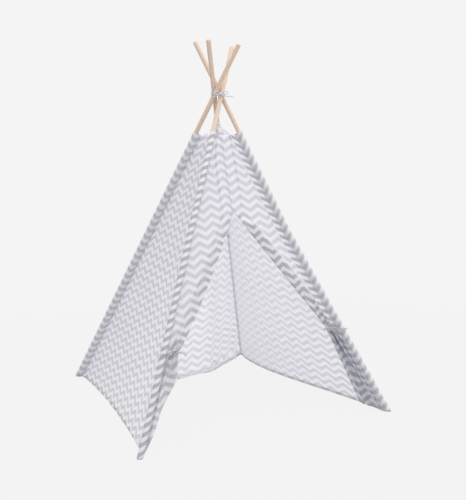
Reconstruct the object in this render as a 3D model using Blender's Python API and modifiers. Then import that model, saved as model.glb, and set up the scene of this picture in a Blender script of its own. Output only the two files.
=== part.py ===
"""A kids' teepee: four jointed pine poles lashed near their tops, in a cotton canopy
with a sleeve down each corner and a front slit in two halves, tied back to the poles.

Metres, +Z up. The origin is on the floor, in the middle of the four feet. -Y is the
front, with the door, and +X is the right hand of someone who looks at the front.
"""
import math

import bmesh
import bpy
from mathutils import Matrix, Vector

# Stance of the four poles
FRONT_HALF_WIDTH = 0.579
REAR_HALF_WIDTH = 0.463
HALF_DEPTH = 0.555
CROSSING_HEIGHT = 1.373
CROSSING_FORWARD = 0.053
CROSSING_SIDE = -0.002

# Poles: round pine dowels in two lengths, whose turned-down ends meet in a flush ferrule.
# The canopy's pull makes a joint give way towards the inside of the tent.
POLE_RADIUS = 0.010
POLE_CHAMFER = 0.0015
SECTION_LENGTH = 0.900
JOINT_GIVE = {"rear_left": 0.0, "front_left": 0.0, "front_right": 0.021, "rear_right": 0.0}
OVERHANG = {"rear_left": 0.219, "front_left": 0.221, "front_right": 0.237, "rear_right": 0.236}
POLE_CLEARANCE = 0.0005
FERRULE_LENGTH = 0.070
FERRULE_WALL = 0.0008
ROUND_SIDES = 16
MERGE_DISTANCE = 0.00001
SMOOTH_DEGREES = 35.0

# One gap for all pieces that touch
GAP = 0.0003

# Canopy cloth, with its hem just off the floor
CLOTH = 0.002
HEM_HEIGHT = 0.002
CANOPY_DROP = {"rear_left": 0.204, "front_left": 0.203, "front_right": 0.196, "rear_right": 0.160}

# Sleeves: a bore round the pole, a wall, and a seam web towards the tent's inside
SLEEVE_WALL = 0.0015
SEAM_REACH = 0.024
SEAM_HALF_THICKNESS = 0.0015
POCKET_FLOOR = 0.002
BORE_SIDES = 16
TEARDROP_STEPS = 9
SEAM_TRIES = 4

# Slack of each wall: the depth of its bow as a share of its width, where along the
# wall the bow is deepest, and how much of the wall's foot lies on the floor
WALL_BOW_SHARES = {"left": 0.024, "right": 0.052, "back": 0.205}
WALL_PEAK_SHARES = {"left": 0.42, "right": 0.70, "back": 0.54}
WALL_LAID = {"left": 0.0, "right": 0.0, "back": 0.070}
LAID_ROUNDING_SHARE = 0.4
BACK_FOLD_DEPTH = 0.011
BACK_FOLDS = 4
TOP_DIP = 0.008
WALL_COLUMN_STEPS = {"left": 10, "right": 12, "back": 20}
WALL_ROW_STEPS = {"left": 8, "right": 8, "back": 12}

# Front halves: a centre seam down to the top of the slit, then a free edge that is
# drawn back to the tie, with the spare cloth folded behind
SEAM_SHIFT = 0.017
SLIT_HEIGHT = 0.867
TIE_HEIGHT = {"left": 0.349, "right": 0.357}
TIE_REACH = {"left": 0.048, "right": 0.046}
EDGE_SWELL = {"left": 0.024, "right": -0.012}
EDGE_SWELL_PEAK = {"left": 0.55, "right": 0.25}
CORNER_HEIGHT = {"left": 0.255, "right": 0.054}
CORNER_REACH = {"left": 0.067, "right": 0.085}
FOLD_RADIUS = 0.003
SEAM_ALLOWANCE = 0.008
TURNED_BACK_SHARE = 0.32
FULL_TURN_SHARE = 0.5
PLEATS = 2.5
PLEAT_DEPTH = 0.006
TAIL_PLEAT_DEPTH = 0.012
PLEAT_RUN = 0.22
FLAP_GAP = 0.0009

# Cords: the lashing at the crossing and the two tie-backs
CORD_RADIUS = 0.002
LASHING_TURNS = 3
LASHING_STEPS = 24
LASHING_TURN_GAP = 0.0006
LASHING_EASE = 0.0004
LASHING_DROP = 0.012
KNOT_HALF_WIDTH = 0.0065
KNOT_SQUASH_SHARE = 0.75
PORT_SIDE_SHARE = 0.62
PORT_UP_SHARE = 0.78
BOW_FACING_DEGREES = 243.0
BOW_LOOP = 0.030
BOW_LOOP_HALF_HEIGHT = 0.009
BOW_TAILS = {"left": 0.036, "right": 0.055}
BOW_LOOP_SHARES = ((0.67, 1.33, 0.50), (1.00, 0.67, 1.00), (0.67, -0.25, 1.33))
BOW_TAIL_SHARES = ((0.50, -1.00, 0.25), (0.75, -1.00, 0.00), (1.00, -1.50, 0.00))
TIE_STUB = 0.014
TIE_KNOT_SHARE = 0.8
TIE_TAILS = {"left": 0.042, "right": 0.024}
LONG_END_SHARES = ((0.67, -0.33), (0.80, -0.67))
SHORT_END_SHARES = ((-0.25, -0.50),)
CORD_STEPS = 4
KNOT_SIDES = 12
KNOT_RINGS = 8

LEGS = {
    "rear_left": (-1, 1),
    "front_left": (-1, -1),
    "front_right": (1, -1),
    "rear_right": (1, 1),
}
COLOURS = {
    "pine": ((0.78, 0.62, 0.45), 0.55, 0.0),
    "steel": ((0.62, 0.63, 0.65), 0.35, 1.0),
    "cotton": ((0.74, 0.74, 0.78), 0.85, 0.0),
    "cotton_inside": ((0.66, 0.66, 0.71), 0.85, 0.0),
    "cord": ((0.84, 0.84, 0.82), 0.75, 0.0),
}


def clear_scene():
    for item in list(bpy.data.objects):
        bpy.data.objects.remove(item, do_unlink=True)


def make_collection(name):
    collection = bpy.data.collections.new(name)
    bpy.context.scene.collection.children.link(collection)
    return collection


def make_material(name, finish):
    colour, roughness, metallic = COLOURS[finish]
    material = bpy.data.materials.new(name)
    material.use_nodes = True
    shader = material.node_tree.nodes["Principled BSDF"]
    shader.inputs["Base Color"].default_value = (*colour, 1.0)
    shader.inputs["Roughness"].default_value = roughness
    shader.inputs["Metallic"].default_value = metallic
    return material


class Leg:
    """One pole's line: its foot on the floor, its direction, and its place in the lashing."""

    def __init__(self, name, side, end):
        half_width = FRONT_HALF_WIDTH if end < 0 else REAR_HALF_WIDTH
        self.name = name
        self.foot = Vector((side * half_width, end * HALF_DEPTH, 0))
        outward = (self.foot - CROSSING).to_2d().normalized()
        self.outward = outward.to_3d()
        self.sideways = Vector((-outward.y, outward.x, 0))

    def settle(self, offset):
        """Pass the crossing sideways by the offset, so the four poles lie round it."""
        self.waist = CROSSING + self.sideways * offset
        self.axis = (self.waist - self.foot).normalized()
        self.below = (self.waist - self.foot).length
        inward = -self.outward
        self.inward = (inward - self.axis * inward.dot(self.axis)).normalized()
        self.turn = self.axis.cross(self.inward)
        self.tip = self.below + OVERHANG[self.name]
        drop = POCKET_FLOOR + (BORE_RADIUS + GAP) * self.outward.dot(-self.axis)
        self.heel = drop / self.axis.z
        self.canopy_top = self.below - CANOPY_DROP[self.name]

    def give(self, distance):
        """How far the pole stands inward of the straight line from its foot to the lashing."""
        if distance < SECTION_LENGTH:
            return JOINT_GIVE[self.name] * distance / SECTION_LENGTH
        return JOINT_GIVE[self.name] * (self.below - distance) / (self.below - SECTION_LENGTH)

    def at(self, distance, inward=0.0, turned=0.0):
        inward += self.give(distance)
        return self.foot + self.axis * distance + self.inward * inward + self.turn * turned

    def frame(self):
        """The line from foot to lashing as a frame: x inward, z up the pole."""
        columns = (self.inward, self.turn, self.axis)
        matrix = Matrix(columns).transposed().to_4x4()
        matrix.translation = self.foot
        return matrix

    def lean(self, bm):
        """Move a straight shape, made in the leg's frame, to where the joint's give puts it."""
        for vert in bm.verts:
            vert.co.x += self.give(vert.co.z)

    def seam(self, towards, height):
        """The point at this height where the wall towards that leg joins the sleeve's web."""
        hand = 1 if (towards.foot - self.foot).dot(self.turn) > 0 else -1
        point = self.at(0.0)
        distance = 0.0
        for _ in range(SEAM_TRIES):
            distance += (height - point.z) / self.axis.z
            point = self.at(distance, SEAM_REACH + SEAM_TO_WALL, hand * SEAM_TO_WALL)
        return point

    def top_height(self):
        return self.at(self.canopy_top, SEAM_REACH).z

    def joint_height(self):
        return self.at(SECTION_LENGTH, SEAM_REACH + SEAM_TO_WALL).z

    def row_height(self, share, rows):
        """A wall's height at this share of its depth, with one row level with the joint."""
        top, joint = self.top_height(), self.joint_height()
        joint_row = round(rows * (top - joint) / (top - HEM_MIDDLE))
        row = share * rows
        if row <= joint_row:
            return top + (joint - top) * row / joint_row
        return joint + (HEM_MIDDLE - joint) * (row - joint_row) / (rows - joint_row)


def spread_rate(leg, other):
    """How far apart two lines pass for each unit of their sideways offset."""
    first = (leg.foot - CROSSING).normalized()
    second = (other.foot - CROSSING).normalized()
    normal = first.cross(second).normalized()
    return abs((leg.sideways - other.sideways).dot(normal))


CROSSING = Vector((CROSSING_SIDE, -CROSSING_FORWARD, CROSSING_HEIGHT))
TENON_RADIUS = POLE_RADIUS - FERRULE_WALL - GAP
BORE_RADIUS = (POLE_RADIUS + GAP) / math.cos(math.pi / BORE_SIDES)
SLEEVE_RADIUS = BORE_RADIUS + SLEEVE_WALL
SEAM_TO_WALL = GAP + CLOTH / 2
HEM_MIDDLE = HEM_HEIGHT + CLOTH / 2


def make_legs():
    legs = {name: Leg(name, *corner) for name, corner in LEGS.items()}
    names = list(legs)
    pairs = [(legs[a], legs[b]) for a, b in zip(names, names[1:] + names[:1])]
    offset = (2 * POLE_RADIUS + POLE_CLEARANCE) / min(spread_rate(a, b) for a, b in pairs)
    for leg in legs.values():
        leg.settle(offset)
    print("crossing offset %.4f m" % offset)
    return legs


def add_pivot(name, place, parent=None):
    pivot = bpy.data.objects.new(name, None)
    pivot.empty_display_size = SECTION_LENGTH / 10
    pivot.location = place
    if parent:
        pivot.parent = parent
        pivot.location = place - parent.matrix_world.translation
    PARTS.objects.link(pivot)
    bpy.context.view_layer.update()
    return pivot


def add_piece(name, data, finish, parent, matrix=None):
    piece = bpy.data.objects.new(name, data)
    data.materials.append(make_material(name, finish))
    piece.parent = parent
    piece.matrix_basis = parent.matrix_world.inverted() @ (matrix or Matrix())
    PARTS.objects.link(piece)
    return piece


def mesh_from(name, bm, smooth=False):
    mesh = bpy.data.meshes.new(name)
    bm.to_mesh(mesh)
    bm.free()
    if smooth:
        mesh.shade_smooth()
        mesh.set_sharp_from_angle(angle=math.radians(SMOOTH_DEGREES))
    return mesh


def turned(outline, leg):
    """A shape turned about the pole's line from its outline, (radius, distance) by point."""
    bm = bmesh.new()
    verts = [bm.verts.new((radius, 0, distance)) for radius, distance in outline]
    pairs = zip(verts, verts[1:] + verts[:1])
    edges = [bm.edges.new(pair) for pair in pairs if pair[0].co.x + pair[1].co.x > 0]
    bmesh.ops.spin(
        bm, geom=verts + edges, cent=(0, 0, 0), axis=(0, 0, 1), angle=2 * math.pi,
        steps=ROUND_SIDES, use_merge=True,
    )
    bmesh.ops.remove_doubles(bm, verts=bm.verts, dist=MERGE_DISTANCE)
    bmesh.ops.recalc_face_normals(bm, faces=bm.faces)
    leg.lean(bm)
    return bm


def dowel(name, leg, start, end, parent):
    """A round length of pine: one end chamfered, and the one at the joint turned down."""
    outline = []
    for distance, inside in ((start, 1), (end, -1)):
        if abs(distance - SECTION_LENGTH) < FERRULE_LENGTH:
            shoulder = distance + inside * (FERRULE_LENGTH / 2 + GAP)
            corners = [(0, distance), (TENON_RADIUS, distance)]
            corners += [(TENON_RADIUS, shoulder), (POLE_RADIUS, shoulder)]
        else:
            corners = [(0, distance), (POLE_RADIUS - POLE_CHAMFER, distance)]
            corners += [(POLE_RADIUS, distance + inside * POLE_CHAMFER)]
        outline += corners[::inside]
    mesh = mesh_from(name, turned(outline, leg), True)
    return add_piece(name, mesh, "pine", parent, leg.frame())


def ferrule(name, leg, middle, parent):
    """A steel tube over the turned-down ends of two pole lengths, flush with the wood."""
    half = FERRULE_LENGTH / 2
    inner = POLE_RADIUS - FERRULE_WALL
    stations = (middle - half, middle, middle + half)
    outline = [(POLE_RADIUS, place) for place in stations]
    outline += [(inner, place) for place in reversed(stations)]
    mesh = mesh_from(name, turned(outline, leg), True)
    return add_piece(name, mesh, "steel", parent, leg.frame())


def teardrop():
    """The sleeve's section: round the pole, with straight sides to the seam's web."""
    reach = math.hypot(SEAM_REACH, SEAM_HALF_THICKNESS)
    tangent = math.acos((SLEEVE_RADIUS - SEAM_HALF_THICKNESS) / reach)
    sweep = 2 * (math.pi - tangent)
    points = []
    for step in range(TEARDROP_STEPS + 1):
        angle = tangent + sweep * step / TEARDROP_STEPS
        points.append((SLEEVE_RADIUS * math.cos(angle), SLEEVE_RADIUS * math.sin(angle)))
    points.append((SEAM_REACH, -SEAM_HALF_THICKNESS))
    points.append((SEAM_REACH, SEAM_HALF_THICKNESS))
    return points


def add_cutter(name, bm, matrix):
    cutter = bpy.data.objects.new(name, mesh_from(name, bm))
    cutter.matrix_basis = matrix
    cutter.display_type = "WIRE"
    cutter.hide_render = True
    CUTTERS.objects.link(cutter)
    return cutter


def cut(piece, cutter):
    boolean = piece.modifiers.new(cutter.name, "BOOLEAN")
    boolean.operation = "DIFFERENCE"
    boolean.solver = "EXACT"
    boolean.object = cutter


def floor_cutter():
    """A slab under the floor, which cuts the pockets flat."""
    bm = bmesh.new()
    depth = SECTION_LENGTH
    size = Matrix.Diagonal((4 * FRONT_HALF_WIDTH, 4 * HALF_DEPTH, depth, 1))
    bmesh.ops.create_cube(bm, size=1, matrix=Matrix.Translation((0, 0, -depth / 2)) @ size)
    return add_cutter("floor_cut", bm, Matrix())


def prism(outline, stations, leg):
    """An outline drawn out along the pole's line, from one distance to the next."""
    bm = bmesh.new()
    face = bm.faces.new([bm.verts.new((x, y, stations[0])) for x, y in outline])
    for before, after in zip(stations, stations[1:]):
        drawn = bmesh.ops.extrude_face_region(bm, geom=[face])["geom"]
        moved = [item for item in drawn if isinstance(item, bmesh.types.BMVert)]
        old, face = face, next(item for item in drawn if isinstance(item, bmesh.types.BMFace))
        if before != stations[0]:
            bm.faces.remove(old)
        bmesh.ops.translate(bm, verts=moved, vec=(0, 0, after - before))
    bmesh.ops.recalc_face_normals(bm, faces=bm.faces)
    leg.lean(bm)
    return bm


def sleeve(leg, parent, floor):
    """A sewn tube down one corner of the canopy, closed at the foot as a pocket."""
    below = 2 * SEAM_REACH
    outside = prism(teardrop(), (-below, SECTION_LENGTH, leg.canopy_top), leg)
    name = leg.name + "_sleeve"
    piece = add_piece(name, mesh_from(name, outside, True), "cotton", parent, leg.frame())
    turns = [2 * math.pi * step / BORE_SIDES for step in range(BORE_SIDES)]
    circle = [(BORE_RADIUS * math.cos(turn), BORE_RADIUS * math.sin(turn)) for turn in turns]
    bore = prism(circle, (leg.heel, SECTION_LENGTH, leg.canopy_top + SEAM_REACH), leg)
    cut(piece, add_cutter(leg.name + "_bore", bore, leg.frame()))
    cut(piece, floor)
    return piece


def add_cloth(name, grid, place, finish, parent):
    """A grid of cloth, each point placed from its shares across and down, then given its wall."""
    columns, rows = grid
    bm = bmesh.new()
    bmesh.ops.create_grid(bm, x_segments=columns, y_segments=rows, size=0.5)
    for vert in bm.verts:
        vert.co = place(vert.co.x + 0.5, 0.5 - vert.co.y)
    piece = add_piece(name, mesh_from(name, bm, True), finish, parent)
    wall = piece.modifiers.new("wall", "SOLIDIFY")
    wall.thickness = CLOTH
    wall.offset = 0.0
    wall.use_even_offset = True
    return piece


def hump(share, peak):
    """0 at both ends of a wall and 1 at its peak."""
    warped = share ** (math.log(0.5) / math.log(peak))
    return 4 * warped * (1 - warped)


def wall(kind, first, second, parent):
    """A canopy wall between two sleeves, bowed towards the inside of the tent."""
    across = (second.foot - first.foot).normalized()
    inward = Vector((-across.y, across.x, 0))
    if inward.dot(CROSSING - first.foot) < 0:
        inward = -inward
    folds = BACK_FOLDS if kind == "back" else 0

    def place(u, v):
        swell = hump(u, WALL_PEAK_SHARES[kind])
        laid = WALL_LAID[kind] * swell
        ends = []
        for leg, other in ((first, second), (second, first)):
            ends.append(leg.seam(other, leg.row_height(v, WALL_ROW_STEPS[kind])))
        span = ends[1] - ends[0]
        point = ends[0] + span * u
        bow = span.length * WALL_BOW_SHARES[kind] * swell
        bow += BACK_FOLD_DEPTH * v * math.sin(2 * math.pi * folds * u) * swell
        drop = laid * v ** 4
        dip = TOP_DIP * swell * (1 - v) ** 4
        height = point.z - HEM_MIDDLE - drop - dip
        rounding = laid * LAID_ROUNDING_SHARE
        kept = 0.5 * (height + math.hypot(height, rounding)) if rounding else height
        return Vector((point.x, point.y, HEM_MIDDLE + kept)) + inward * (bow + kept - height)

    finish = "cotton_inside" if folds else "cotton"
    grid = (WALL_COLUMN_STEPS[kind], WALL_ROW_STEPS[kind])
    return add_cloth(kind + "_wall", grid, place, finish, parent)


class FrontHalf:
    """One half of the front: rows of cloth from the sleeve's seam to the free edge, where
    the spare cloth turns back behind the row.
    """

    COLUMNS_OUT = 8
    COLUMNS_ROUND = 3
    COLUMNS_BACK = 2
    COLUMNS = COLUMNS_OUT + COLUMNS_ROUND + COLUMNS_BACK
    ROWS = 12
    SLIT_ROW = 5
    JOINT_ROW = 6
    TAIL_ROWS = 7

    def __init__(self, side, leg, opposite):
        self.side = side
        self.leg = leg
        self.opposite = opposite
        self.hand = -1 if side == "left" else 1

    def outer(self, height):
        return self.leg.seam(self.opposite, height)

    def level_with(self, height, x):
        """The point of the front's plane at this height and this far to the right."""
        near = self.outer(height)
        far = self.opposite.seam(self.leg, height)
        return near + (far - near) * (x - near.x) / (far.x - near.x)

    def knot(self):
        height = TIE_HEIGHT[self.side]
        return self.level_with(height, self.outer(height).x - self.hand * TIE_REACH[self.side])

    def corner(self):
        height = CORNER_HEIGHT[self.side]
        return self.level_with(height, self.outer(height).x - self.hand * CORNER_REACH[self.side])

    def drawn(self, height):
        """0 at the top of the slit and 1 at the tie."""
        return (SLIT_HEIGHT - height) / (SLIT_HEIGHT - TIE_HEIGHT[self.side])

    def free_edge(self, height):
        """The centre seam above the slit, and below it the line to the tie."""
        seam_x = -SEAM_SHIFT + self.hand * GAP / 2
        if height >= SLIT_HEIGHT:
            return self.level_with(height, seam_x)
        drawn = self.drawn(height)
        swell = EDGE_SWELL[self.side] * hump(drawn, EDGE_SWELL_PEAK[self.side]) ** 0.5
        return self.level_with(height, seam_x + (self.knot().x - seam_x) * drawn - self.hand * swell)

    def row_point(self, start, end, share, turned_back, pleat_depth):
        """A point of one row, from its share along the row's columns."""
        along = (end - start).normalized()
        inward = (along.cross(self.leg.axis) * self.hand).normalized()
        run = (end - start).length - FOLD_RADIUS - CLOTH / 2
        column = share * self.COLUMNS
        if column <= self.COLUMNS_OUT:
            reach = run * column / self.COLUMNS_OUT
            depth = 0.0
        elif column <= self.COLUMNS_OUT + self.COLUMNS_ROUND:
            angle = math.pi * (column - self.COLUMNS_OUT) / self.COLUMNS_ROUND
            reach = run + FOLD_RADIUS * math.sin(angle)
            depth = FOLD_RADIUS * (1 - math.cos(angle))
        else:
            back = (column - self.COLUMNS_OUT - self.COLUMNS_ROUND) / self.COLUMNS_BACK
            reach = run - turned_back * back
            depth = 2 * FOLD_RADIUS
        wave = math.sin(math.pi * PLEATS * min(reach / run, 1.0))
        return start + along * reach + inward * (depth - pleat_depth * wave)

    def panel_height(self, row):
        """The height of a row, with one row level with the slit's top and one with the joint."""
        knots = (
            (0, self.leg.top_height()),
            (self.SLIT_ROW, SLIT_HEIGHT),
            (self.JOINT_ROW, self.leg.joint_height()),
            (self.ROWS, TIE_HEIGHT[self.side]),
        )
        for (row_above, above), (row_below, below) in zip(knots, knots[1:]):
            if row <= row_below:
                return above + (below - above) * (row - row_above) / (row_below - row_above)
        return knots[-1][1]

    def panel_place(self, u, v):
        bottom = TIE_HEIGHT[self.side]
        height = self.panel_height(v * self.ROWS)
        start = self.outer(height)
        end = self.free_edge(height)
        spare = SEAM_ALLOWANCE
        if height < SLIT_HEIGHT:
            turned = min(1, self.drawn(height) / FULL_TURN_SHARE)
            spare += (TURNED_BACK_SHARE * (end - start).length - SEAM_ALLOWANCE) * turned
        near = max(0.0, 1 - (height - bottom) / PLEAT_RUN)
        return self.row_point(start, end, u, spare, PLEAT_DEPTH * near ** 2)

    def tail_place(self, u, v):
        top = TIE_HEIGHT[self.side] - FLAP_GAP
        height = top + (HEM_MIDDLE - top) * v
        start = self.outer(height)
        knot = self.knot() - Vector((0, 0, FLAP_GAP))
        end = knot + (self.corner() - knot) * v
        spare = TURNED_BACK_SHARE * (end - start).length
        depth = PLEAT_DEPTH + (TAIL_PLEAT_DEPTH - PLEAT_DEPTH) * v
        return self.row_point(start, end, u, spare, depth)


def add_cord(name, points, parent, resolution=2):
    """A cord along a run of points, round and with closed ends."""
    curve = bpy.data.curves.new(name, "CURVE")
    curve.dimensions = "3D"
    curve.bevel_depth = CORD_RADIUS
    curve.bevel_resolution = resolution
    curve.use_fill_caps = True
    spline = curve.splines.new("POLY")
    spline.points.add(len(points) - 1)
    for target, point in zip(spline.points, points):
        target.co = (*point, 1.0)
    return add_piece(name, curve, "cord", parent)


def smooth_run(points):
    """Points read from one smooth curve through the run's own points, straight at its ends."""
    out = [points[0]]
    last = len(points) - 1
    for index in range(1, last - 1):
        before, start, end, after = points[index - 1:index + 3]
        for step in range(CORD_STEPS):
            t = step / CORD_STEPS
            a = 2 * start
            b = (end - before) * t
            c = (2 * before - 5 * start + 4 * end - after) * t * t
            d = (3 * start - before - 3 * end + after) * t ** 3
            out.append((a + b + c + d) / 2)
    return out + points[last - 1:]


def lashing_points(legs):
    """The cord's turns, tight round the four poles just under their crossing, as one helix."""
    clear = CORD_RADIUS + GAP + LASHING_EASE
    pitch = 2 * CORD_RADIUS + LASHING_TURN_GAP
    total = LASHING_TURNS * LASHING_STEPS
    facing = math.radians(BOW_FACING_DEGREES)
    points = []
    for step in range(total + 1):
        angle = facing + 2 * math.pi * step / LASHING_STEPS
        rise = pitch * (step / LASHING_STEPS - LASHING_TURNS / 2) - LASHING_DROP
        away = Vector((math.cos(angle), math.sin(angle), 0))
        best = None
        for leg in legs.values():
            lean = leg.axis.to_2d().length / leg.axis.z
            centre = leg.waist - CROSSING - leg.outward * (rise * lean)
            centre.z = 0
            along = POLE_RADIUS * math.hypot(1, lean)
            wide = Vector((leg.outward.dot(away) * along, leg.sideways.dot(away) * POLE_RADIUS))
            support = centre.dot(away) + wide.length
            edge = centre + leg.outward * (wide.x * along / wide.length)
            edge += leg.sideways * (wide.y * POLE_RADIUS / wide.length)
            if best is None or support > best[0]:
                best = (support, edge)
        points.append(CROSSING + best[1] + away * clear + Vector((0, 0, rise)))
    return points


def least_gap(points, radius, apart):
    """The least clear distance of a wound cord to itself, between points that far apart."""
    gaps = []
    for index, point in enumerate(points):
        for other in points[index + apart:]:
            gaps.append((point - other).length - 2 * radius)
    return min(gaps)


class Knot:
    """A rounded knot, wider than it is deep, whose cords leave it square to its surface."""

    def __init__(self, centre, right, up, out):
        self.centre = centre
        self.sides = (right, up, out)
        depth = KNOT_HALF_WIDTH * KNOT_SQUASH_SHARE
        self.sizes = Vector((KNOT_HALF_WIDTH, depth, depth))

    def mesh(self, name):
        bm = bmesh.new()
        place = Matrix(self.sides).transposed().to_4x4()
        place.translation = self.centre
        shape = Matrix.Diagonal((*self.sizes, 1))
        bmesh.ops.create_uvsphere(
            bm, u_segments=KNOT_SIDES, v_segments=KNOT_RINGS, radius=1, matrix=place @ shape
        )
        bmesh.ops.recalc_face_normals(bm, faces=bm.faces)
        return mesh_from(name, bm, True)

    def world(self, right, up, out):
        return self.sides[0] * right + self.sides[1] * up + self.sides[2] * out

    def port(self, right, up, out):
        """Two points of a cord that leaves the knot that way: on its surface, and a step on."""
        normal = Vector((right, up, out)).normalized()
        scaled = Vector(size * share for size, share in zip(self.sizes, normal))
        surface = Vector(size * share for size, share in zip(self.sizes, scaled)) / scaled.length
        start = surface + normal * GAP
        step = start + normal * 2 * CORD_RADIUS
        return [self.centre + self.world(*start), self.centre + self.world(*step)]

    def past(self, right, up, out):
        return self.centre + self.world(right, up, out)


def lashing_bow(wound):
    """The lashing's knot in front of its turns, and the routes of its loops and ends."""
    facing = math.radians(BOW_FACING_DEGREES)
    out = Vector((math.cos(facing), math.sin(facing), 0))
    right = Vector((-math.sin(facing), math.cos(facing), 0))
    seat = max(wound[LASHING_STEPS // 2:-LASHING_STEPS // 2], key=out.dot)
    centre = seat + out * (CORD_RADIUS + GAP + KNOT_HALF_WIDTH * KNOT_SQUASH_SHARE)
    knot = Knot(centre, right, Vector((0, 0, 1)), out)
    high = BOW_LOOP_HALF_HEIGHT
    routes = {}
    for side, hand in (("left", -1), ("right", 1)):
        loop = knot.port(PORT_SIDE_SHARE * hand, PORT_UP_SHARE, 0)
        for far, up, forward in BOW_LOOP_SHARES:
            loop.append(knot.past(BOW_LOOP * far * hand, high * up, high * forward))
        loop += reversed(knot.port(PORT_SIDE_SHARE * hand, 0, PORT_UP_SHARE))
        routes["lashing_loop_" + side] = smooth_run(loop)
        end = knot.port(PORT_SIDE_SHARE * hand, -PORT_UP_SHARE, 0)
        for far, up, forward in BOW_TAIL_SHARES:
            end.append(knot.past(BOW_TAILS[side] * far * hand, high * up, high * forward))
        routes["lashing_end_" + side] = smooth_run(end)
    return knot, routes


def tie_back(half):
    """A cord that is sewn to the sleeve, passes in front of the gathered half and round its
    free edge, and ends at the seam inside. Its knot lies on it in front, with two ends.
    """
    leg = half.leg
    height = TIE_HEIGHT[half.side]
    start = half.outer(height)
    reach = (half.knot() - start).length
    along = (half.knot() - start).normalized()
    inward = (along.cross(leg.axis) * half.hand).normalized()
    clear = CORD_RADIUS + GAP
    front = PLEAT_DEPTH + CLOTH / 2 + clear
    behind = front + 2 * FOLD_RADIUS
    pole = leg.at(height / leg.axis.z)
    shell = SLEEVE_RADIUS + clear
    route = [
        pole - along * (shell + TIE_STUB) - inward * shell / 3,
        pole - along * shell - inward * shell / 2,
        pole - along * shell / 2 - inward * shell,
        pole + along * shell / 2 - inward * (shell + clear / 2),
        start + along * reach / 3 - inward * (front + clear),
        start + along * reach * TIE_KNOT_SHARE - inward * (front + clear / 2),
        start + along * (reach + clear / 2) - inward * front,
        start + along * (reach + 2 * clear) - inward * front / 2,
        start + along * (reach + 2 * clear) + inward * behind / 2,
        start + along * (reach + clear / 2) + inward * behind,
        start + along * reach * 2 / 3 + inward * (behind + clear / 2),
        start + along * reach / 4 + inward * (behind + clear),
    ]
    lift = front + clear / 2 + clear + KNOT_HALF_WIDTH * KNOT_SQUASH_SHARE
    centre = start + along * reach * TIE_KNOT_SHARE - inward * lift
    up = along.cross(inward) * -half.hand
    knot = Knot(centre, along, up.normalized(), -inward)
    tail = TIE_TAILS[half.side]
    ends = {}
    for kind, hand, shares in (("long", 1, LONG_END_SHARES), ("short", -1, SHORT_END_SHARES)):
        points = knot.port(PORT_SIDE_SHARE * hand, -PORT_UP_SHARE, 0)
        points += [knot.past(tail * far, tail * up, 0) for far, up in shares]
        ends[kind] = smooth_run(points)
    return smooth_run(route), knot, ends


def build():
    legs = make_legs()
    root = add_pivot("teepee", Vector((0, 0, 0)))
    pivots = {"rear_right": root}
    pivots["rear_left"] = add_pivot("rear_left_pivot", CROSSING, root)
    pivots["front_left"] = add_pivot("front_left_pivot", CROSSING, pivots["rear_left"])
    pivots["front_right"] = add_pivot("front_right_pivot", CROSSING, root)

    floor = floor_cutter()
    for name, leg in legs.items():
        pivot = pivots[name]
        dowel(name + "_lower_pole", leg, leg.heel + GAP, SECTION_LENGTH - GAP, pivot)
        dowel(name + "_upper_pole", leg, SECTION_LENGTH + GAP, leg.tip, pivot)
        ferrule(name + "_ferrule", leg, SECTION_LENGTH, pivot)
        sleeve(leg, pivot, floor)

    rear_left, front_left = legs["rear_left"], legs["front_left"]
    front_right, rear_right = legs["front_right"], legs["rear_right"]
    wall("left", rear_left, front_left, pivots["rear_left"])
    wall("right", front_right, rear_right, pivots["rear_right"])
    wall("back", rear_right, rear_left, pivots["rear_right"])

    for side, leg, opposite in (
        ("left", front_left, front_right),
        ("right", front_right, front_left),
    ):
        half = FrontHalf(side, leg, opposite)
        pivot = pivots[leg.name]
        add_cloth(
            "front_%s_half" % side, (half.COLUMNS, half.ROWS), half.panel_place, "cotton", pivot,
        )
        hinge = add_pivot("%s_flap_pivot" % side, half.outer(TIE_HEIGHT[side]), pivot)
        add_cloth(
            "%s_flap" % side, (half.COLUMNS, half.TAIL_ROWS), half.tail_place, "cotton", hinge,
        )
        route, knot, ends = tie_back(half)
        add_cord("%s_tie" % side, route, pivot)
        add_piece("%s_tie_knot" % side, knot.mesh("%s_tie_knot" % side), "cord", pivot)
        for name, points in ends.items():
            add_cord("%s_tie_%s_end" % (side, name), points, pivot)

    wound = lashing_points(legs)
    print("lashing's least gap %.2f mm" % (1000 * least_gap(wound, CORD_RADIUS, LASHING_STEPS // 2)))
    add_cord("top_lashing", wound, root, resolution=1)
    knot, routes = lashing_bow(wound)
    add_piece("lashing_knot", knot.mesh("lashing_knot"), "cord", root)
    for name, points in routes.items():
        add_cord(name, points, root)


clear_scene()
PARTS = make_collection("kids_teepee")
CUTTERS = make_collection("cutters")
build()
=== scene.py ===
# %% [markdown]
# # A kids' teepee, dressed
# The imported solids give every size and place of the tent. This script gives them their
# finish: printed cotton, pine poles and braided cord. Each step starts with a few words on
# the real thing, on how it could be made, and on why it is made this way.

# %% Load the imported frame
import math

import bpy
from mathutils import Matrix, Vector, noise


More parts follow.
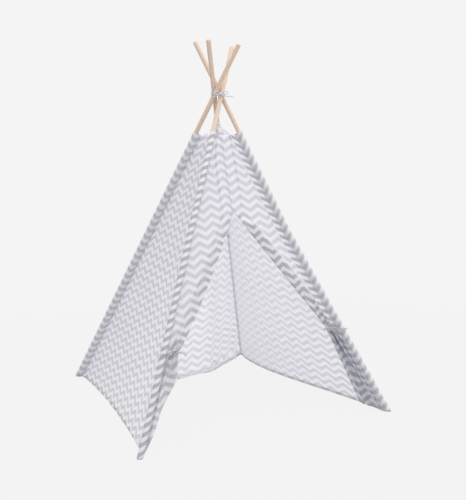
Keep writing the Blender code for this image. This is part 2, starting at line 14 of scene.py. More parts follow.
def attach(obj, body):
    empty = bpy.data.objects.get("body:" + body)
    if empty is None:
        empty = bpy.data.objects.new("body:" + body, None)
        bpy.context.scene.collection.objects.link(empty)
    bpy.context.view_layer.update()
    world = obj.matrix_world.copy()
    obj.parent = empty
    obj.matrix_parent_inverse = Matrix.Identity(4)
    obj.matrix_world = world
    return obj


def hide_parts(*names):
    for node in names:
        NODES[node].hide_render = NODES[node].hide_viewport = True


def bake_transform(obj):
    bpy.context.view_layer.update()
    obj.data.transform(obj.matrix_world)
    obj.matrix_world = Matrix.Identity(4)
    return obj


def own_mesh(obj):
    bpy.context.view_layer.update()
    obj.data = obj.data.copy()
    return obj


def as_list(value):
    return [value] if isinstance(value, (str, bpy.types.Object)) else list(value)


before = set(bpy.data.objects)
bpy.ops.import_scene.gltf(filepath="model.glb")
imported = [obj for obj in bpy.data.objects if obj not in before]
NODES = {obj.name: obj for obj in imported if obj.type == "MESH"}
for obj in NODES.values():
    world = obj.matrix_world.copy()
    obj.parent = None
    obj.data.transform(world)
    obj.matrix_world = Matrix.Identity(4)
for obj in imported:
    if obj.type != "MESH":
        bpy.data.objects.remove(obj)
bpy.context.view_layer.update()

# %% [markdown]
# ## The camera
# The picture was taken from a little left of the door, at the height of a seated adult's
# eyes. Its place and lens were worked out from the feet, the pole ends and the crossing.
# A constraint could aim a camera at a point, but it can't roll it, so the camera's axes are
# set one by one. A camera looks along its own -Z.

# %% Camera
CAMERA_PLACE = Vector((-1.6703, -3.3179, 1.2201))
YAW, PITCH, ROLL = 0.4911, -0.1463, 0.0065
FOCAL_PIXELS, PHOTO_HEIGHT, SENSOR = 834.53, 500, 36.0


def aim_camera():
    ahead = Vector((math.sin(YAW) * math.cos(PITCH), math.cos(YAW) * math.cos(PITCH),
                    math.sin(PITCH)))
    level = Vector((math.cos(YAW), -math.sin(YAW), 0))
    above = level.cross(ahead)
    right = level * math.cos(ROLL) + above * math.sin(ROLL)
    up = above * math.cos(ROLL) - level * math.sin(ROLL)
    turned = Matrix((right, up, -ahead)).transposed()
    camera = bpy.data.objects.new("camera", bpy.data.cameras.new("camera"))
    camera.matrix_world = Matrix.Translation(CAMERA_PLACE) @ turned.to_4x4()
    camera.data.sensor_width = SENSOR
    camera.data.lens = SENSOR * FOCAL_PIXELS / PHOTO_HEIGHT
    bpy.context.scene.collection.objects.link(camera)
    bpy.context.scene.camera = camera
    print("camera: lens %.1f mm" % camera.data.lens)


aim_camera()

# %% [markdown]
# ## Four poles that cross
# Everything on the tent follows four lines: each runs from its foot on the floor past the
# lashing. The lines could be read back from the solids' meshes. They are worked out again
# from the driving sizes that the solids were built from, because a rule can also say where
# a seam lies beside a pole. One pole gives way a little at its joint.

# %% Sizes of the poles
FRONT_HALF_WIDTH, REAR_HALF_WIDTH, HALF_DEPTH = 0.579, 0.463, 0.555
CROSSING = Vector((-0.002, -0.053, 1.373))
POLE_RADIUS, POLE_CLEARANCE, GAP = 0.010, 0.0005, 0.0003
JOINT_PLACE, JOINT_GIVE = 0.900, {"front_right": 0.021}
CORNERS = {"rear_left": (-1, 1), "front_left": (-1, -1), "front_right": (1, -1),
           "rear_right": (1, 1)}


def by_leg(*values):
    """Four values, each under its leg's name."""
    return dict(zip(CORNERS, values))


OVERHANG = by_leg(0.219, 0.221, 0.237, 0.236)
CANOPY_DROP = by_leg(0.204, 0.203, 0.196, 0.160)
print("legs:", ", ".join(CORNERS), "of %.0f mm" % (2000 * POLE_RADIUS))

# %% A leg's line
LEVEL_ROUNDS = 4


class Leg:
    """One pole's line, with its inward and its turning direction."""

    def __init__(self, name, side, end):
        half_width = FRONT_HALF_WIDTH if end < 0 else REAR_HALF_WIDTH
        self.name, self.body = name, name + "_leg"
        self.foot = Vector((side * half_width, end * HALF_DEPTH, 0))
        self.outward = (self.foot - CROSSING).to_2d().normalized().to_3d()
        self.sideways = Vector((-self.outward.y, self.outward.x, 0))

    def settle(self, offset):
        """Pass the crossing at this distance from its middle."""
        self.waist = CROSSING + self.sideways * offset
        self.axis = (self.waist - self.foot).normalized()
        self.below = (self.waist - self.foot).length
        inward = -self.outward
        self.inward = (inward - self.axis * inward.dot(self.axis)).normalized()
        self.turn = self.axis.cross(self.inward)
        self.tip = self.below + OVERHANG[self.name]
        self.canopy_top = self.below - CANOPY_DROP[self.name]

    def at(self, distance, inward=0.0, turned=0.0):
        """The point so far up the pole, and so far beside its middle."""
        give = JOINT_GIVE.get(self.name, 0.0)
        if distance < JOINT_PLACE:
            give *= distance / JOINT_PLACE
        else:
            give *= (self.below - distance) / (self.below - JOINT_PLACE)
        return self.foot + self.axis * distance + self.inward * (inward + give) + self.turn * turned

    def level(self, height, inward=0.0, turned=0.0):
        """The point of this line, or of one beside it, at this height."""
        point, distance = self.at(0.0), 0.0
        for _ in range(LEVEL_ROUNDS):
            distance += (height - point.z) / self.axis.z
            point = self.at(distance, inward, turned)
        return point

    def hand(self, towards):
        """1 if that leg is on the turning side of this one, and -1 if it isn't."""
        return 1 if (towards.foot - self.foot).dot(self.turn) > 0 else -1


LEGS = {name: Leg(name, *corner) for name, corner in CORNERS.items()}
print("a line for each of", len(LEGS), "legs")

# %% [markdown]
# ## How the poles pass each other
# Four straight poles can't meet in one point. Each passes the middle on its own left, and
# they touch where two neighbours cross. Moving them by hand until they touch would do once.
# The distance is worked out, so that it stays right when a size changes.

# %% Let the poles pass the crossing
def spread_rate(leg, other):
    """How fast two lines part when both step to their left."""
    normal = (leg.foot - CROSSING).normalized().cross((other.foot - CROSSING).normalized())
    return abs((leg.sideways - other.sideways).dot(normal.normalized()))


ORDER = list(LEGS)
NEIGHBOURS = list(zip(ORDER, ORDER[1:] + ORDER[:1]))
OFFSET = (2 * POLE_RADIUS + POLE_CLEARANCE) / min(
    spread_rate(LEGS[a], LEGS[b]) for a, b in NEIGHBOURS)
for leg in LEGS.values():
    leg.settle(OFFSET)
print("the poles pass the middle of the crossing at %.1f mm" % (OFFSET * 1000))

# %% [markdown]
# ## Shader maths as expressions
# A node tree is hard to read as code. A small class wraps one socket, so that a sum or a
# product of two masks is written as Python and adds its Math nodes by itself.

# %% A socket that takes part in sums
class Socket:
    def __init__(self, tree, out):
        self.tree, self.out = tree, out

    def node(self, kind, inputs, output=0, **settings):
        """Add a node: its settings come first, then the values or links of its sockets."""
        made = self.tree.nodes.new(kind)
        for key, value in settings.items():
            setattr(made, key, value)
        for key, value in inputs.items():
            if isinstance(value, Socket):
                self.tree.links.new(value.out, made.inputs[key])
            else:
                made.inputs[key].default_value = value
        return type(self)(self.tree, made.outputs[output])

    def math(self, operation, *values):
        return self.node("ShaderNodeMath", dict(enumerate(values)), operation=operation)

    def __add__(self, other): return self.math("ADD", self, other)
    def __radd__(self, other): return self.math("ADD", other, self)
    def __sub__(self, other): return self.math("SUBTRACT", self, other)
    def __rsub__(self, other): return self.math("SUBTRACT", other, self)
    def __mul__(self, other): return self.math("MULTIPLY", self, other)
    def __rmul__(self, other): return self.math("MULTIPLY", other, self)
    def __truediv__(self, other): return self.math("DIVIDE", self, other)
    def __rtruediv__(self, other): return self.math("DIVIDE", other, self)
    def __abs__(self): return self.math("ABSOLUTE", self)

    def fract(self): return self.math("FRACT", self)
    def sin(self): return self.math("SINE", self)
    def least(self, other): return self.math("MINIMUM", self, other)
    def most(self, other): return self.math("MAXIMUM", self, other)


print("sums of sockets are ready")

# %% [markdown]
# ## Patterns, masks and colours
# Colours and vectors take the Mix and Vector Math nodes, because a Math node would turn
# them grey. A mask is a number from 0 to 1, and it picks between two colours.

# %% Patterns and masks
class Sock(Socket):
    def vector(self, operation, *values, output=0):
        return self.node("ShaderNodeVectorMath", dict(enumerate(values)), output,
                         operation=operation)

    def step(self, low, high):
        """0 up to low, 1 from high, and a smooth rise between them."""
        names = {"Value": self, "From Min": low, "From Max": high}
        return self.node("ShaderNodeMapRange", names, interpolation_type="SMOOTHSTEP")

    def mix(self, first, second):
        """The first colour where this mask is 0, and the second where it is 1."""
        return self.node("ShaderNodeMix", {"Factor": self, 6: first, 7: second}, 2,
                         data_type="RGBA")

    def part(self, axis):
        return self.node("ShaderNodeSeparateXYZ", {0: self}, "XYZ".index(axis))

    def noise(self, scale, detail=2.0, rough=0.5):
        """Blender's noise at this many cycles a metre, about 0 to 1."""
        names = {"Vector": self, "Scale": scale, "Detail": detail, "Roughness": rough}
        return self.node("ShaderNodeTexNoise", names)

    def stretched(self, x, y, z):
        return self.vector("MULTIPLY", self, (x, y, z))

    def bump(self, strength, distance, normal=None):
        names = {"Height": self, "Strength": strength, "Distance": distance}
        if normal:
            names["Normal"] = normal
        return self.node("ShaderNodeBump", names)


print("patterns and masks are ready")

# %% [markdown]
# ## Colours and materials
# A photograph's numbers are bent for the screen, and Blender works with light, so a colour
# that was read off the picture is straightened first. Every finish below starts from the
# Principled shader, and links or sets only what it needs.

# %% Colours and materials
SRGB_KNEE, SRGB_SLOPE, SRGB_SHIFT, SRGB_POWER = 0.04045, 12.92, 0.055, 2.4


def srgb(*values):
    """A colour on the photograph's own scale of 0 to 255, as Blender's linear one."""
    linear = []
    for share in (value / 255 for value in values):
        curved = ((share + SRGB_SHIFT) / (1 + SRGB_SHIFT)) ** SRGB_POWER
        linear.append(share / SRGB_SLOPE if share < SRGB_KNEE else curved)
    return (*linear, 1.0)


def new_material(name):
    """A material with its Principled shader, and a socket to start expressions from."""
    material = bpy.data.materials.new(name)
    material.use_nodes = True
    tree = material.node_tree
    return material, tree.nodes["Principled BSDF"], Sock(tree, None)


def plug(shader, start, **sockets):
    """Link or set the shader's own sockets, by name with _ for a space."""
    for key, value in sockets.items():
        socket = shader.inputs[key.replace("_", " ")]
        if isinstance(value, Sock):
            start.tree.links.new(value.out, socket)
        else:
            socket.default_value = value


def show(start, share, first, second, output="Material Output"):
    """Show the first shader where share is 0, and the second where it is 1."""
    both = start.node("ShaderNodeMixShader", {0: share, 1: first, 2: second})
    start.tree.links.new(both.out, start.tree.nodes[output].inputs["Surface"])


print("white is", srgb(255, 255, 255))

# %% [markdown]
# ## Pine for the poles
# A dowel is turned out of a plank, so its grain is a slice through the tree's rings: long
# lines along the pole, wide arches where a ring is grazed, and arcs on the sawn end. One
# solid pattern gives all three, if it is made of cylinders about a line that stands beside
# the pole. The pattern is read along the pole's own directions, with dot products.

# %% Pine
PINE_PALE, PINE_LATE, PINE_KNOT = srgb(228, 211, 195), srgb(204, 171, 147), srgb(142, 100, 76)
RING_PITCH, HEART_ASIDE, RING_WANDER = 0.0034, 0.031, 0.010
LATE_WOOD, FIBRE_DARK, KNOT_EDGE = (0.45, 0.98), (0.35, 0.75), (0.03, 0.075)
BENDS, FIBRES, PATCHES, KNOTS = 14.0, 900.0, 9.0, 9.0
BEND_STRETCH, FIBRE_STRETCH, PATCH_STRETCH, KNOT_STRETCH = 0.12, 0.02, 0.2, 0.35


def along_leg(start, leg, aside=0.0):
    """Object coordinates as (inward, turned, up the pole) of a leg, in metres."""
    place = start.node("ShaderNodeTexCoord", {}, "Object")
    place = place.vector("SUBTRACT", place, tuple(leg.foot))
    inward, turned, up = (place.vector("DOT_PRODUCT", place, tuple(way), output="Value")
                          for way in (leg.inward, leg.turn, leg.axis))
    return start.node("ShaderNodeCombineXYZ", {"X": inward + aside, "Y": turned, "Z": up})


def pine(leg):
    material, shader, start = new_material("pine_" + leg.name)
    place = along_leg(start, leg, HEART_ASIDE)
    wander = place.stretched(1.0, 1.0, BEND_STRETCH).noise(BENDS) * RING_WANDER
    across = place.stretched(1.0, 1.0, 0.0)
    rings = (across.vector("LENGTH", across, output="Value") + wander) / RING_PITCH
    late = (abs(rings.fract() - 0.5) * 2.0).step(*LATE_WOOD)
    fibre = place.stretched(1.0, 1.0, FIBRE_STRETCH).noise(FIBRES)
    patch = place.stretched(1.0, 1.0, PATCH_STRETCH).noise(PATCHES)
    cells = {"Vector": place.stretched(1.0, 1.0, KNOT_STRETCH), "Scale": KNOTS}
    knot = 1.0 - start.node("ShaderNodeTexVoronoi", cells, "Distance").step(*KNOT_EDGE)
    wood = (late * 0.75 + patch * 0.25).mix(PINE_PALE, PINE_LATE)
    wood = (fibre.step(*FIBRE_DARK) * 0.22).mix(wood, PINE_LATE)
    wood = (knot * 0.8).mix(wood, PINE_KNOT)
    height = fibre * 0.4 + late * 0.6 - knot * 0.3
    plug(shader, start, Base_Color=wood, Roughness=0.52 + fibre * 0.2 + late * 0.08,
         Normal=height.bump(0.35, 0.0004), Specular_IOR_Level=0.35)
    return material


PINE = {name: pine(leg) for name, leg in LEGS.items()}
print("pine:", ", ".join(sorted(material.name for material in PINE.values())))

# %% [markdown]
# ## Steel for the ferrules
# Two lengths of each pole meet in a thin drawn tube, hidden in the sleeve. Drawing leaves
# fine lines along the tube, and handling dulls it in patches. The tubes and the lower poles
# are plain turned shapes already, so they keep their solids and only get a finish.

# %% Ferrule steel
STEEL_BRIGHT, STEEL_DULL = srgb(176, 178, 182), srgb(140, 142, 147)
DRAWN_LINES, DRAWN_STRETCH, DULL_PATCHES, STEEL_DETAIL = 1500.0, 0.03, 60.0, 3.0


def ferrule_steel(leg):
    material, shader, start = new_material("ferrule_steel_" + leg.name)
    place = along_leg(start, leg)
    lines = place.stretched(1.0, 1.0, DRAWN_STRETCH).noise(DRAWN_LINES, STEEL_DETAIL)
    dull = place.noise(DULL_PATCHES, STEEL_DETAIL)
    plug(shader, start, Base_Color=dull.mix(STEEL_BRIGHT, STEEL_DULL), Metallic=1.0,
         Roughness=0.28 + dull * 0.2 + lines * 0.1, Normal=lines.bump(0.2, 0.0002))
    return material


for name, leg in LEGS.items():
    for part, material in (("lower_pole", PINE[name]), ("ferrule", ferrule_steel(leg))):
        for slot in NODES[name + "_" + part].material_slots:
            slot.material = material
print("lower poles and ferrules keep their solids")

# %% [markdown]
# ## From a mesh to a named piece
# An operator acts on all that is selected, so each step starts with nothing selected. Each
# finished piece is shaded smooth up to an angle, and is told which body it rides on and
# which solids it stands for.

# %% Start and finish of a piece
SOFT_ANGLE, HARD_ANGLE = 60.0, 35.0


def start_fresh():
    """Back to object mode, with nothing selected."""
    if bpy.context.object and bpy.context.object.mode != "OBJECT":
        bpy.ops.object.mode_set(mode="OBJECT")
    bpy.ops.object.select_all(action="DESELECT")


def finish(piece, body, slot, *nodes, smooth=SOFT_ANGLE):
    """Shade a piece, and say what it rides on and what it stands for."""
    start_fresh()
    piece.select_set(True)
    bpy.context.view_layer.objects.active = piece
    bpy.ops.object.shade_smooth_by_angle(angle=math.radians(smooth))
    piece.select_set(False)
    if body:
        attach(piece, body)
    if nodes:
        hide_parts(*nodes)
    return piece


print("smooth up to %.0f degrees on cloth and cord, %.0f on wood" % (SOFT_ANGLE, HARD_ANGLE))

# %% [markdown]
# ## The upper poles
# The upper length of each pole shows above the canopy, so it gets a rounder form than its
# solid: a cylinder of many sides, whose sawn ends are softened with a bevel. Its lower end
# is turned down to fit the tube. A hand-turned dowel is never true, and a subdivided shaft
# has rings of points that noise can move by a fraction of a millimetre.

# %% A bevelled dowel
POLE_SIDES, POLE_CUTS = 48, 28
SAWN_EDGE, SAWN_STEPS, SAWN_PROFILE = 0.0011, 3, 0.6
LEVEL_EDGE = 1e-6


def pick_edges(piece, wanted):
    """Select the edges whose rise along the cylinder is as wanted."""
    bpy.ops.object.mode_set(mode="OBJECT")
    for edge in piece.data.edges:
        first, second = (piece.data.vertices[index].co.z for index in edge.vertices)
        edge.select = wanted(abs(first - second))
    bpy.ops.object.mode_set(mode="EDIT")


def dowel(length):
    """An upright cylinder with softened ends and rings of points along its shaft."""
    start_fresh()
    bpy.ops.mesh.primitive_cylinder_add(vertices=POLE_SIDES, radius=POLE_RADIUS, depth=length)
    piece = bpy.context.object
    bpy.ops.object.mode_set(mode="EDIT")
    bpy.ops.mesh.select_mode(type="EDGE")
    bpy.ops.mesh.select_all(action="DESELECT")
    pick_edges(piece, lambda rise: rise < LEVEL_EDGE)
    bpy.ops.mesh.bevel(offset=SAWN_EDGE, segments=SAWN_STEPS, profile=SAWN_PROFILE)
    bpy.ops.mesh.select_all(action="DESELECT")
    pick_edges(piece, lambda rise: rise > length / 2)
    bpy.ops.mesh.subdivide(number_cuts=POLE_CUTS)
    bpy.ops.object.mode_set(mode="OBJECT")
    return piece


print("a dowel has %d sides and %d rings" % (POLE_SIDES, POLE_CUTS))

# %% Upper poles
UNTRUE, UNTRUE_ACROSS, UNTRUE_ALONG = 0.00018, 60, 25
TENON_SHARE, SHOULDER_PLACE, SHOULDER_STEP = 0.89, 0.0350, 0.0004


def upper_pole(leg):
    low, high = JOINT_PLACE + GAP, leg.tip
    length, base = high - low, leg.at(low)
    piece = dowel(length)
    along = (leg.at(high) - base).normalized()
    inward = leg.turn.cross(along)
    ring = length / (POLE_CUTS + 1)
    for vert in piece.data.vertices:
        spot = vert.co.copy()
        up = spot.z + length / 2
        if up < 1.5 * ring:
            spot.x, spot.y = spot.x * TENON_SHARE, spot.y * TENON_SHARE
            spot.z += SHOULDER_PLACE - ring if up > 0.5 * ring else 0.0
        elif up < 2.5 * ring:
            spot.z += SHOULDER_PLACE + SHOULDER_STEP - 2 * ring
        seed = Vector((spot.x * UNTRUE_ACROSS, spot.y * UNTRUE_ACROSS, spot.z * UNTRUE_ALONG))
        true = 1 + UNTRUE / POLE_RADIUS * noise.noise(seed + leg.foot)
        across = inward * spot.x * true + leg.turn * spot.y * true
        vert.co = base + across + along * (spot.z + length / 2)
    piece.data.materials.append(PINE[leg.name])
    piece.name = piece.data.name = leg.name + "_pole_end"
    return finish(piece, leg.body, "pole_wood", leg.name + "_upper_pole", smooth=HARD_ANGLE)


POLE_ENDS = [upper_pole(leg) for leg in LEGS.values()]
print("upper poles:", [len(piece.data.polygons) for piece in POLE_ENDS], "faces")

# %% [markdown]
# ## Weave and stitches
# The canopy is a plain-weave cotton. Its yarns are uneven, which shows as slubs along both
# threads. The threads themselves are too fine for a mesh, so they are a height for a bump.
# A row of stitches runs beside each hem and seam, dashed at its own distance from the edge.

# %% Weave and stitches
THREAD_PITCH, SLUBS, SLUB_STRETCH = 0.0011, 1300.0, 0.035
HEM_BAND, HEM_STITCH, SEAM_STITCH = 0.014, 0.0115, 0.0035
STITCH_PITCH, STITCH_HALF_WIDTH, STITCH_GAP = 0.0042, 0.0006, (0.10, 0.17)


def weave(place):
    """The slubs and the crossing threads of the cloth, as a height of about 0 to 1."""
    warp = place.stretched(1.0, SLUB_STRETCH, 1.0).noise(SLUBS)
    weft = place.stretched(SLUB_STRETCH, 1.0, 1.0).noise(SLUBS)
    turns = math.tau / THREAD_PITCH
    crossing = (place.part("X") * turns).sin() * (place.part("Y") * turns).sin()
    return warp * 0.5 + weft * 0.5 + crossing * 0.12


def stitch_line(distance, aside, along):
    """The thread, and the line that it draws, at this distance from an edge."""
    line = 1.0 - abs(distance - aside).step(STITCH_HALF_WIDTH * 0.6, STITCH_HALF_WIDTH)
    gap = abs((along / STITCH_PITCH).fract() - 0.5).step(*STITCH_GAP)
    return line * (1.0 - gap), line


def stitches(place, edges):
    """Rows of stitches at their distance from the hem, and one beside each seam."""
    hem_thread, hem_line = stitch_line(edges.part("Y"), HEM_STITCH, place.part("X"))
    seam_thread, seam_line = stitch_line(edges.part("X"), SEAM_STITCH, place.part("Y"))
    return hem_thread.most(seam_thread), hem_line.most(seam_line)


print("stitches of %.1f mm, %.1f mm from the hem" % (STITCH_PITCH * 1000, HEM_STITCH * 1000))

# %% [markdown]
# ## Printed cotton
# A zigzag is printed on the cloth in pale grey. An image texture would blur when seen from
# near, so the print is worked out from the cloth's own coordinates, in metres of cloth: a
# row number that a triangle wave pushes up and down. Half of each row is inked. The ink is
# uneven, and the back of the cloth has only what soaks through. Light shines through one
# layer and less through two. Two layers are also painted a little darker as shade, deep
# folds and stitch lines get painted shade, and a crease gets a painted highlight.

# %% The cotton's shader
ROW_PITCH, ZIGZAG, PEAK_TO_VALLEY = 0.0370, 0.0754, 0.0240
INK_EDGE, INK_RAGGED, RAGS = (0.222, 0.278), 0.05, 420.0
INK_PATCHES, INK_SPECKS, SOIL_PATCHES, CREASES, FINE_DETAIL = 30.0, 700.0, 4.0, 38.0, 3.0
CLOTH_WHITE, PRINT_GREY = srgb(250, 249.7, 252.2), srgb(188, 187.5, 192)
SHADED_DOUBLED_WHITE, SHADED_DOUBLED_GREY = srgb(239, 238, 242), srgb(184, 183, 190)
SHADED, SOILED, STITCH_SHADE = srgb(104, 110, 130), srgb(238, 237, 242), srgb(200, 199, 207)
THREAD_WHITE = srgb(248, 248, 251)
THINNESS, LAYERED, INK_DENSE = 0.68, 0.85, 0.20
HEM_LAYERS, SEAM_LAYERS, SEAM_BAND = 0.6, 0.12, (0.009, 0.011)


def print_mask(place):
    """1 where the cloth is inked, with slightly ragged edges."""
    ragged = place.noise(RAGS, FINE_DETAIL) - 0.5
    column, row = place.part("X") / ZIGZAG, place.part("Y") / ROW_PITCH
    tri = 1.0 - abs(column.fract() - 0.5) * 4.0
    wave = row + tri * (PEAK_TO_VALLEY / (2 * ROW_PITCH))
    return 1.0 - (abs(wave.fract() - 0.5) + ragged * INK_RAGGED).step(*INK_EDGE)


def cotton(name, ink):
    """Printed cotton; ink is how much of the print shows on this side. Its
    layers_shade_and_highlight attribute is 1 where two layers lie together. Above 1 it paints
    shade, up to 2 deep in a fold, and below 0 it fades the print, for a paler print and for a
    painted highlight on a crease."""
    material, shader, start = new_material(name)
    place, edges = (start.node("ShaderNodeUVMap", {}, uv_map=uv) for uv in ("Print", "Edges"))
    layers_shade_and_highlight = start.node("ShaderNodeAttribute", {}, "Fac", attribute_name="layers_shade_and_highlight")
    slub, inked = weave(place), print_mask(place)
    density = place.noise(INK_PATCHES, FINE_DETAIL) * 0.16 + place.noise(INK_SPECKS) * 0.22 + 0.80
    thread, line = stitches(place, edges)
    twofold = layers_shade_and_highlight.most(0.0).least(1.0)
    # Below 0, the attribute fades the print, for a paler print and for a painted highlight on a
    # crease.
    cover = (inked * density * ink * (1.0 + layers_shade_and_highlight.least(0.0))).least(1.0)
    soil = place.noise(SOIL_PATCHES, FINE_DETAIL).step(0.3, 0.9) * 0.06
    # Where layers lie together, the cloth and its print are painted a little darker, as shade.
    white = twofold.mix(CLOTH_WHITE, SHADED_DOUBLED_WHITE)
    colour = (slub.step(0.2, 0.8) * 0.4 + soil).mix(white, SOILED)
    colour = cover.mix(colour, twofold.mix(PRINT_GREY, SHADED_DOUBLED_GREY))
    # Above 1, the attribute mixes in painted shade: in folds, at hems and feet, and on sleeves and
    # flaps.
    colour = (layers_shade_and_highlight - 1.0).most(0.0).mix(colour, SHADED)
    # The stitch line's dent is painted shade.
    colour = (line * 0.35).mix(colour, STITCH_SHADE)
    colour = (thread * 0.8).mix(colour, THREAD_WHITE)
    relief = slub * 0.35 + thread * 1.6 - line * 0.9 + inked * 0.1
    creases = place.noise(CREASES, 4.0, 0.6)
    normal = relief.bump(0.45, 0.0003, creases.bump(0.30, 0.004))
    plug(shader, start, Base_Color=colour, Roughness=0.80 + slub * 0.12 + inked * 0.03,
         Normal=normal, Sheen_Weight=0.08, Sheen_Roughness=0.5, Specular_IOR_Level=0.2)
    through = start.node("ShaderNodeBsdfTranslucent", {"Color": CLOTH_WHITE, "Normal": normal})
    hem = 1.0 - edges.part("Y").step(HEM_BAND * 0.95, HEM_BAND * 1.05)
    seam = 1.0 - edges.part("X").step(*SEAM_BAND)
    layers = twofold.most(hem * HEM_LAYERS).most(seam * SEAM_LAYERS)
    share = (1.0 - layers * LAYERED) * (1.0 - inked * ink * INK_DENSE) * THINNESS
    show(start, share, Sock(start.tree, shader.outputs[0]), through)
    return material


OUTSIDE = cotton("printed_cotton_outside", 1.0)
INSIDE = cotton("printed_cotton_inside", 0.36)
FADED = cotton("faded_cotton_outside", 0.70)
print("cotton: rows every %.1f mm, zigzags of %.1f mm" % (ROW_PITCH * 1000, ZIGZAG * 1000))

# %% [markdown]
# ## A sheet of cloth
# Each panel starts as Blender's grid, whose points are then placed by a rule: so far across
# and so far down the cloth. The rule also says where the point lies on the print, and how
# far it is from the hem and from the seam, which the stitches need. Solidify gives the
# cloth its thickness, more at the hem, where it is folded twice. The mesh's other side
# takes the inside's material. Cloth that is stretched between poles has no slack to
# simulate, so no Cloth modifier is needed.

# %% Cloth from a grid
CLOTH, HEM_CLOTH = 0.0008, 0.0018


def store_facts(mesh, by_vert):
    """Keep each point's place on the print, its distances from seam and hem, and its layers
    with their painted shade and highlight.
    """
    mesh.uv_layers.active.name = "Print"
    mesh.uv_layers.new(name="Edges")
    by_loop = [by_vert[loop.vertex_index] for loop in mesh.loops]
    for layer, first in (("Print", 0), ("Edges", 2)):
        values = [number for fact in by_loop for number in fact[first:first + 2]]
        mesh.uv_layers[layer].data.foreach_set("uv", values)
    layers_shade_and_highlight = mesh.attributes.new("layers_shade_and_highlight", "FLOAT", "POINT")
    layers_shade_and_highlight.data.foreach_set("value", [fact[4] for fact in by_vert])


def thicken(piece, by_vert):
    """Give a sheet its wall, thicker where its edge is folded."""
    folded = piece.vertex_groups.new(name="folded")
    for number, fact in enumerate(by_vert):
        near = fact[3] < HEM_BAND or fact[2] < 2 * SEAM_STITCH
        folded.add([number], 1.0 if near else CLOTH / HEM_CLOTH, "REPLACE")
    wall = piece.modifiers.new("wall", "SOLIDIFY")
    wall.thickness, wall.offset = HEM_CLOTH, 0.0
    wall.vertex_group, wall.material_offset = "folded", 1
    bpy.ops.object.modifier_apply(modifier="wall")
    piece.vertex_groups.clear()


def cloth(name, across, down, place, printed, inside_out=False, outside=OUTSIDE):
    """A sheet from its shares across and down. place(u, v) is a point, and printed(points)
    gives, for every row and column, (print x, print y, from seam, from hem,
    layers_shade_and_highlight)."""
    start_fresh()
    columns, rows = len(across) - 1, len(down) - 1
    bpy.ops.mesh.primitive_grid_add(x_subdivisions=columns, y_subdivisions=rows, size=1)
    piece = bpy.context.object
    mesh = piece.data
    piece.name = mesh.name = name
    points = [[place(u, v) for u in across] for v in down]
    facts, by_vert = printed(points), []
    for vert in mesh.vertices:
        row, column = round((0.5 - vert.co.y) * rows), round((vert.co.x + 0.5) * columns)
        vert.co = points[row][column]
        by_vert.append(facts[row][column])
    store_facts(mesh, by_vert)
    if inside_out:
        bpy.ops.object.mode_set(mode="EDIT")
        bpy.ops.mesh.select_all(action="SELECT")
        bpy.ops.mesh.flip_normals()
        bpy.ops.object.mode_set(mode="OBJECT")
    area = sum(face.area for face in mesh.polygons)
    mesh.materials.append(outside)
    mesh.materials.append(INSIDE)
    thicken(piece, by_vert)
    print("%s: %d faces, %.2f m2 of cloth" % (name, len(mesh.polygons), area))
    return piece, area


print("cloth %.1f mm thick, %.1f mm at a hem" % (CLOTH * 1000, HEM_CLOTH * 1000))

# %% [markdown]
# ## The sleeve's section
# Each pole stands in a tube sewn from its own strip of the printed cloth. Its section is a
# drop: round the pole, then two layers that run together to the seam with the walls. The
# drop is an arc and the two tangents that reach from it to the seam.

# %% A drop round the pole
SLEEVE_RADIUS, SEAM_REACH, WEB_HALF = 0.0113, 0.0285, 0.0005
DROP_STEPS, WEB_STEPS = 26, 5


def running_lengths(points):
    """The length of a line of points, from its start to each of them."""
    lengths = [0.0]
    for before, after in zip(points, points[1:]):
        lengths.append(lengths[-1] + (after - before).length)
    return lengths


def drop_section():
    """(inward, turned, length along the section) round the drop, from seam to seam."""
    reach = math.hypot(SEAM_REACH, WEB_HALF)
    tangent = math.acos((SLEEVE_RADIUS - WEB_HALF) / reach)
    angles = [tangent + 2 * (math.pi - tangent) * step / DROP_STEPS
              for step in range(DROP_STEPS + 1)]
    arc = [Vector((math.cos(angle), math.sin(angle))) * SLEEVE_RADIUS for angle in angles]
    first, last = Vector((SEAM_REACH, WEB_HALF)), Vector((SEAM_REACH, -WEB_HALF))
    points = [first.lerp(arc[0], step / WEB_STEPS) for step in range(WEB_STEPS)] + arc
    points += [arc[-1].lerp(last, (step + 1) / WEB_STEPS) for step in range(WEB_STEPS)]
    lengths = running_lengths(points)
    return [(p.x, p.y, s - lengths[-1] / 2) for p, s in zip(points, lengths)], lengths[-1]


SECTION, GIRTH = drop_section()
print("a sleeve is cut %.0f mm wide" % (GIRTH * 1000))

# %% [markdown]
# ## How the strips were cut
# Each strip was cut with its rows across the pole, so the zigzags stand in line up the
# corner. No two strips were cut at the same place on the print, and one was cut a little on
# the slant. The turn of the zigzag is placed by where it stands on the pole's seen side.

# %% How the strips were cut
VERTEX_ASIDE = by_leg(0.006, -0.0105, -0.0112, 0.0)
SLEEVE_SLANT = {"front_right": 0.0045}
SLEEVE_CLOTH = by_leg(FADED, OUTSIDE, FADED, FADED)
SLEEVE_SHADE = by_leg(0.0, 0.08, 0.13, 0.0)
SLEEVE_LAYERS = by_leg(1.0, 1.0, 1.0, 0.1)
TOP_SLANT = {"rear_right": 0.75}


def sleeve_shift(leg):
    """Where the strip's zigzag turns, on the side of the pole that the photograph shows."""
    seen = CAMERA_PLACE - leg.at(leg.canopy_top / 2)
    facing = math.atan2(seen.dot(leg.turn), seen.dot(leg.inward)) % math.tau
    return -SLEEVE_RADIUS * (facing + math.asin(VERTEX_ASIDE[leg.name] / SLEEVE_RADIUS) - math.pi)


def steeper(leg, x):
    """What a strip that was cut on the slant adds to its zigzag."""
    return SLEEVE_SLANT.get(leg.name, 0.0) * (1 - 4 * abs(x / ZIGZAG % 1 - 0.5))


SHIFTS = {name: sleeve_shift(leg) for name, leg in LEGS.items()}
print("zigzags turn at", {name: round(shift * 1000, 1) for name, shift in SHIFTS.items()}, "mm")

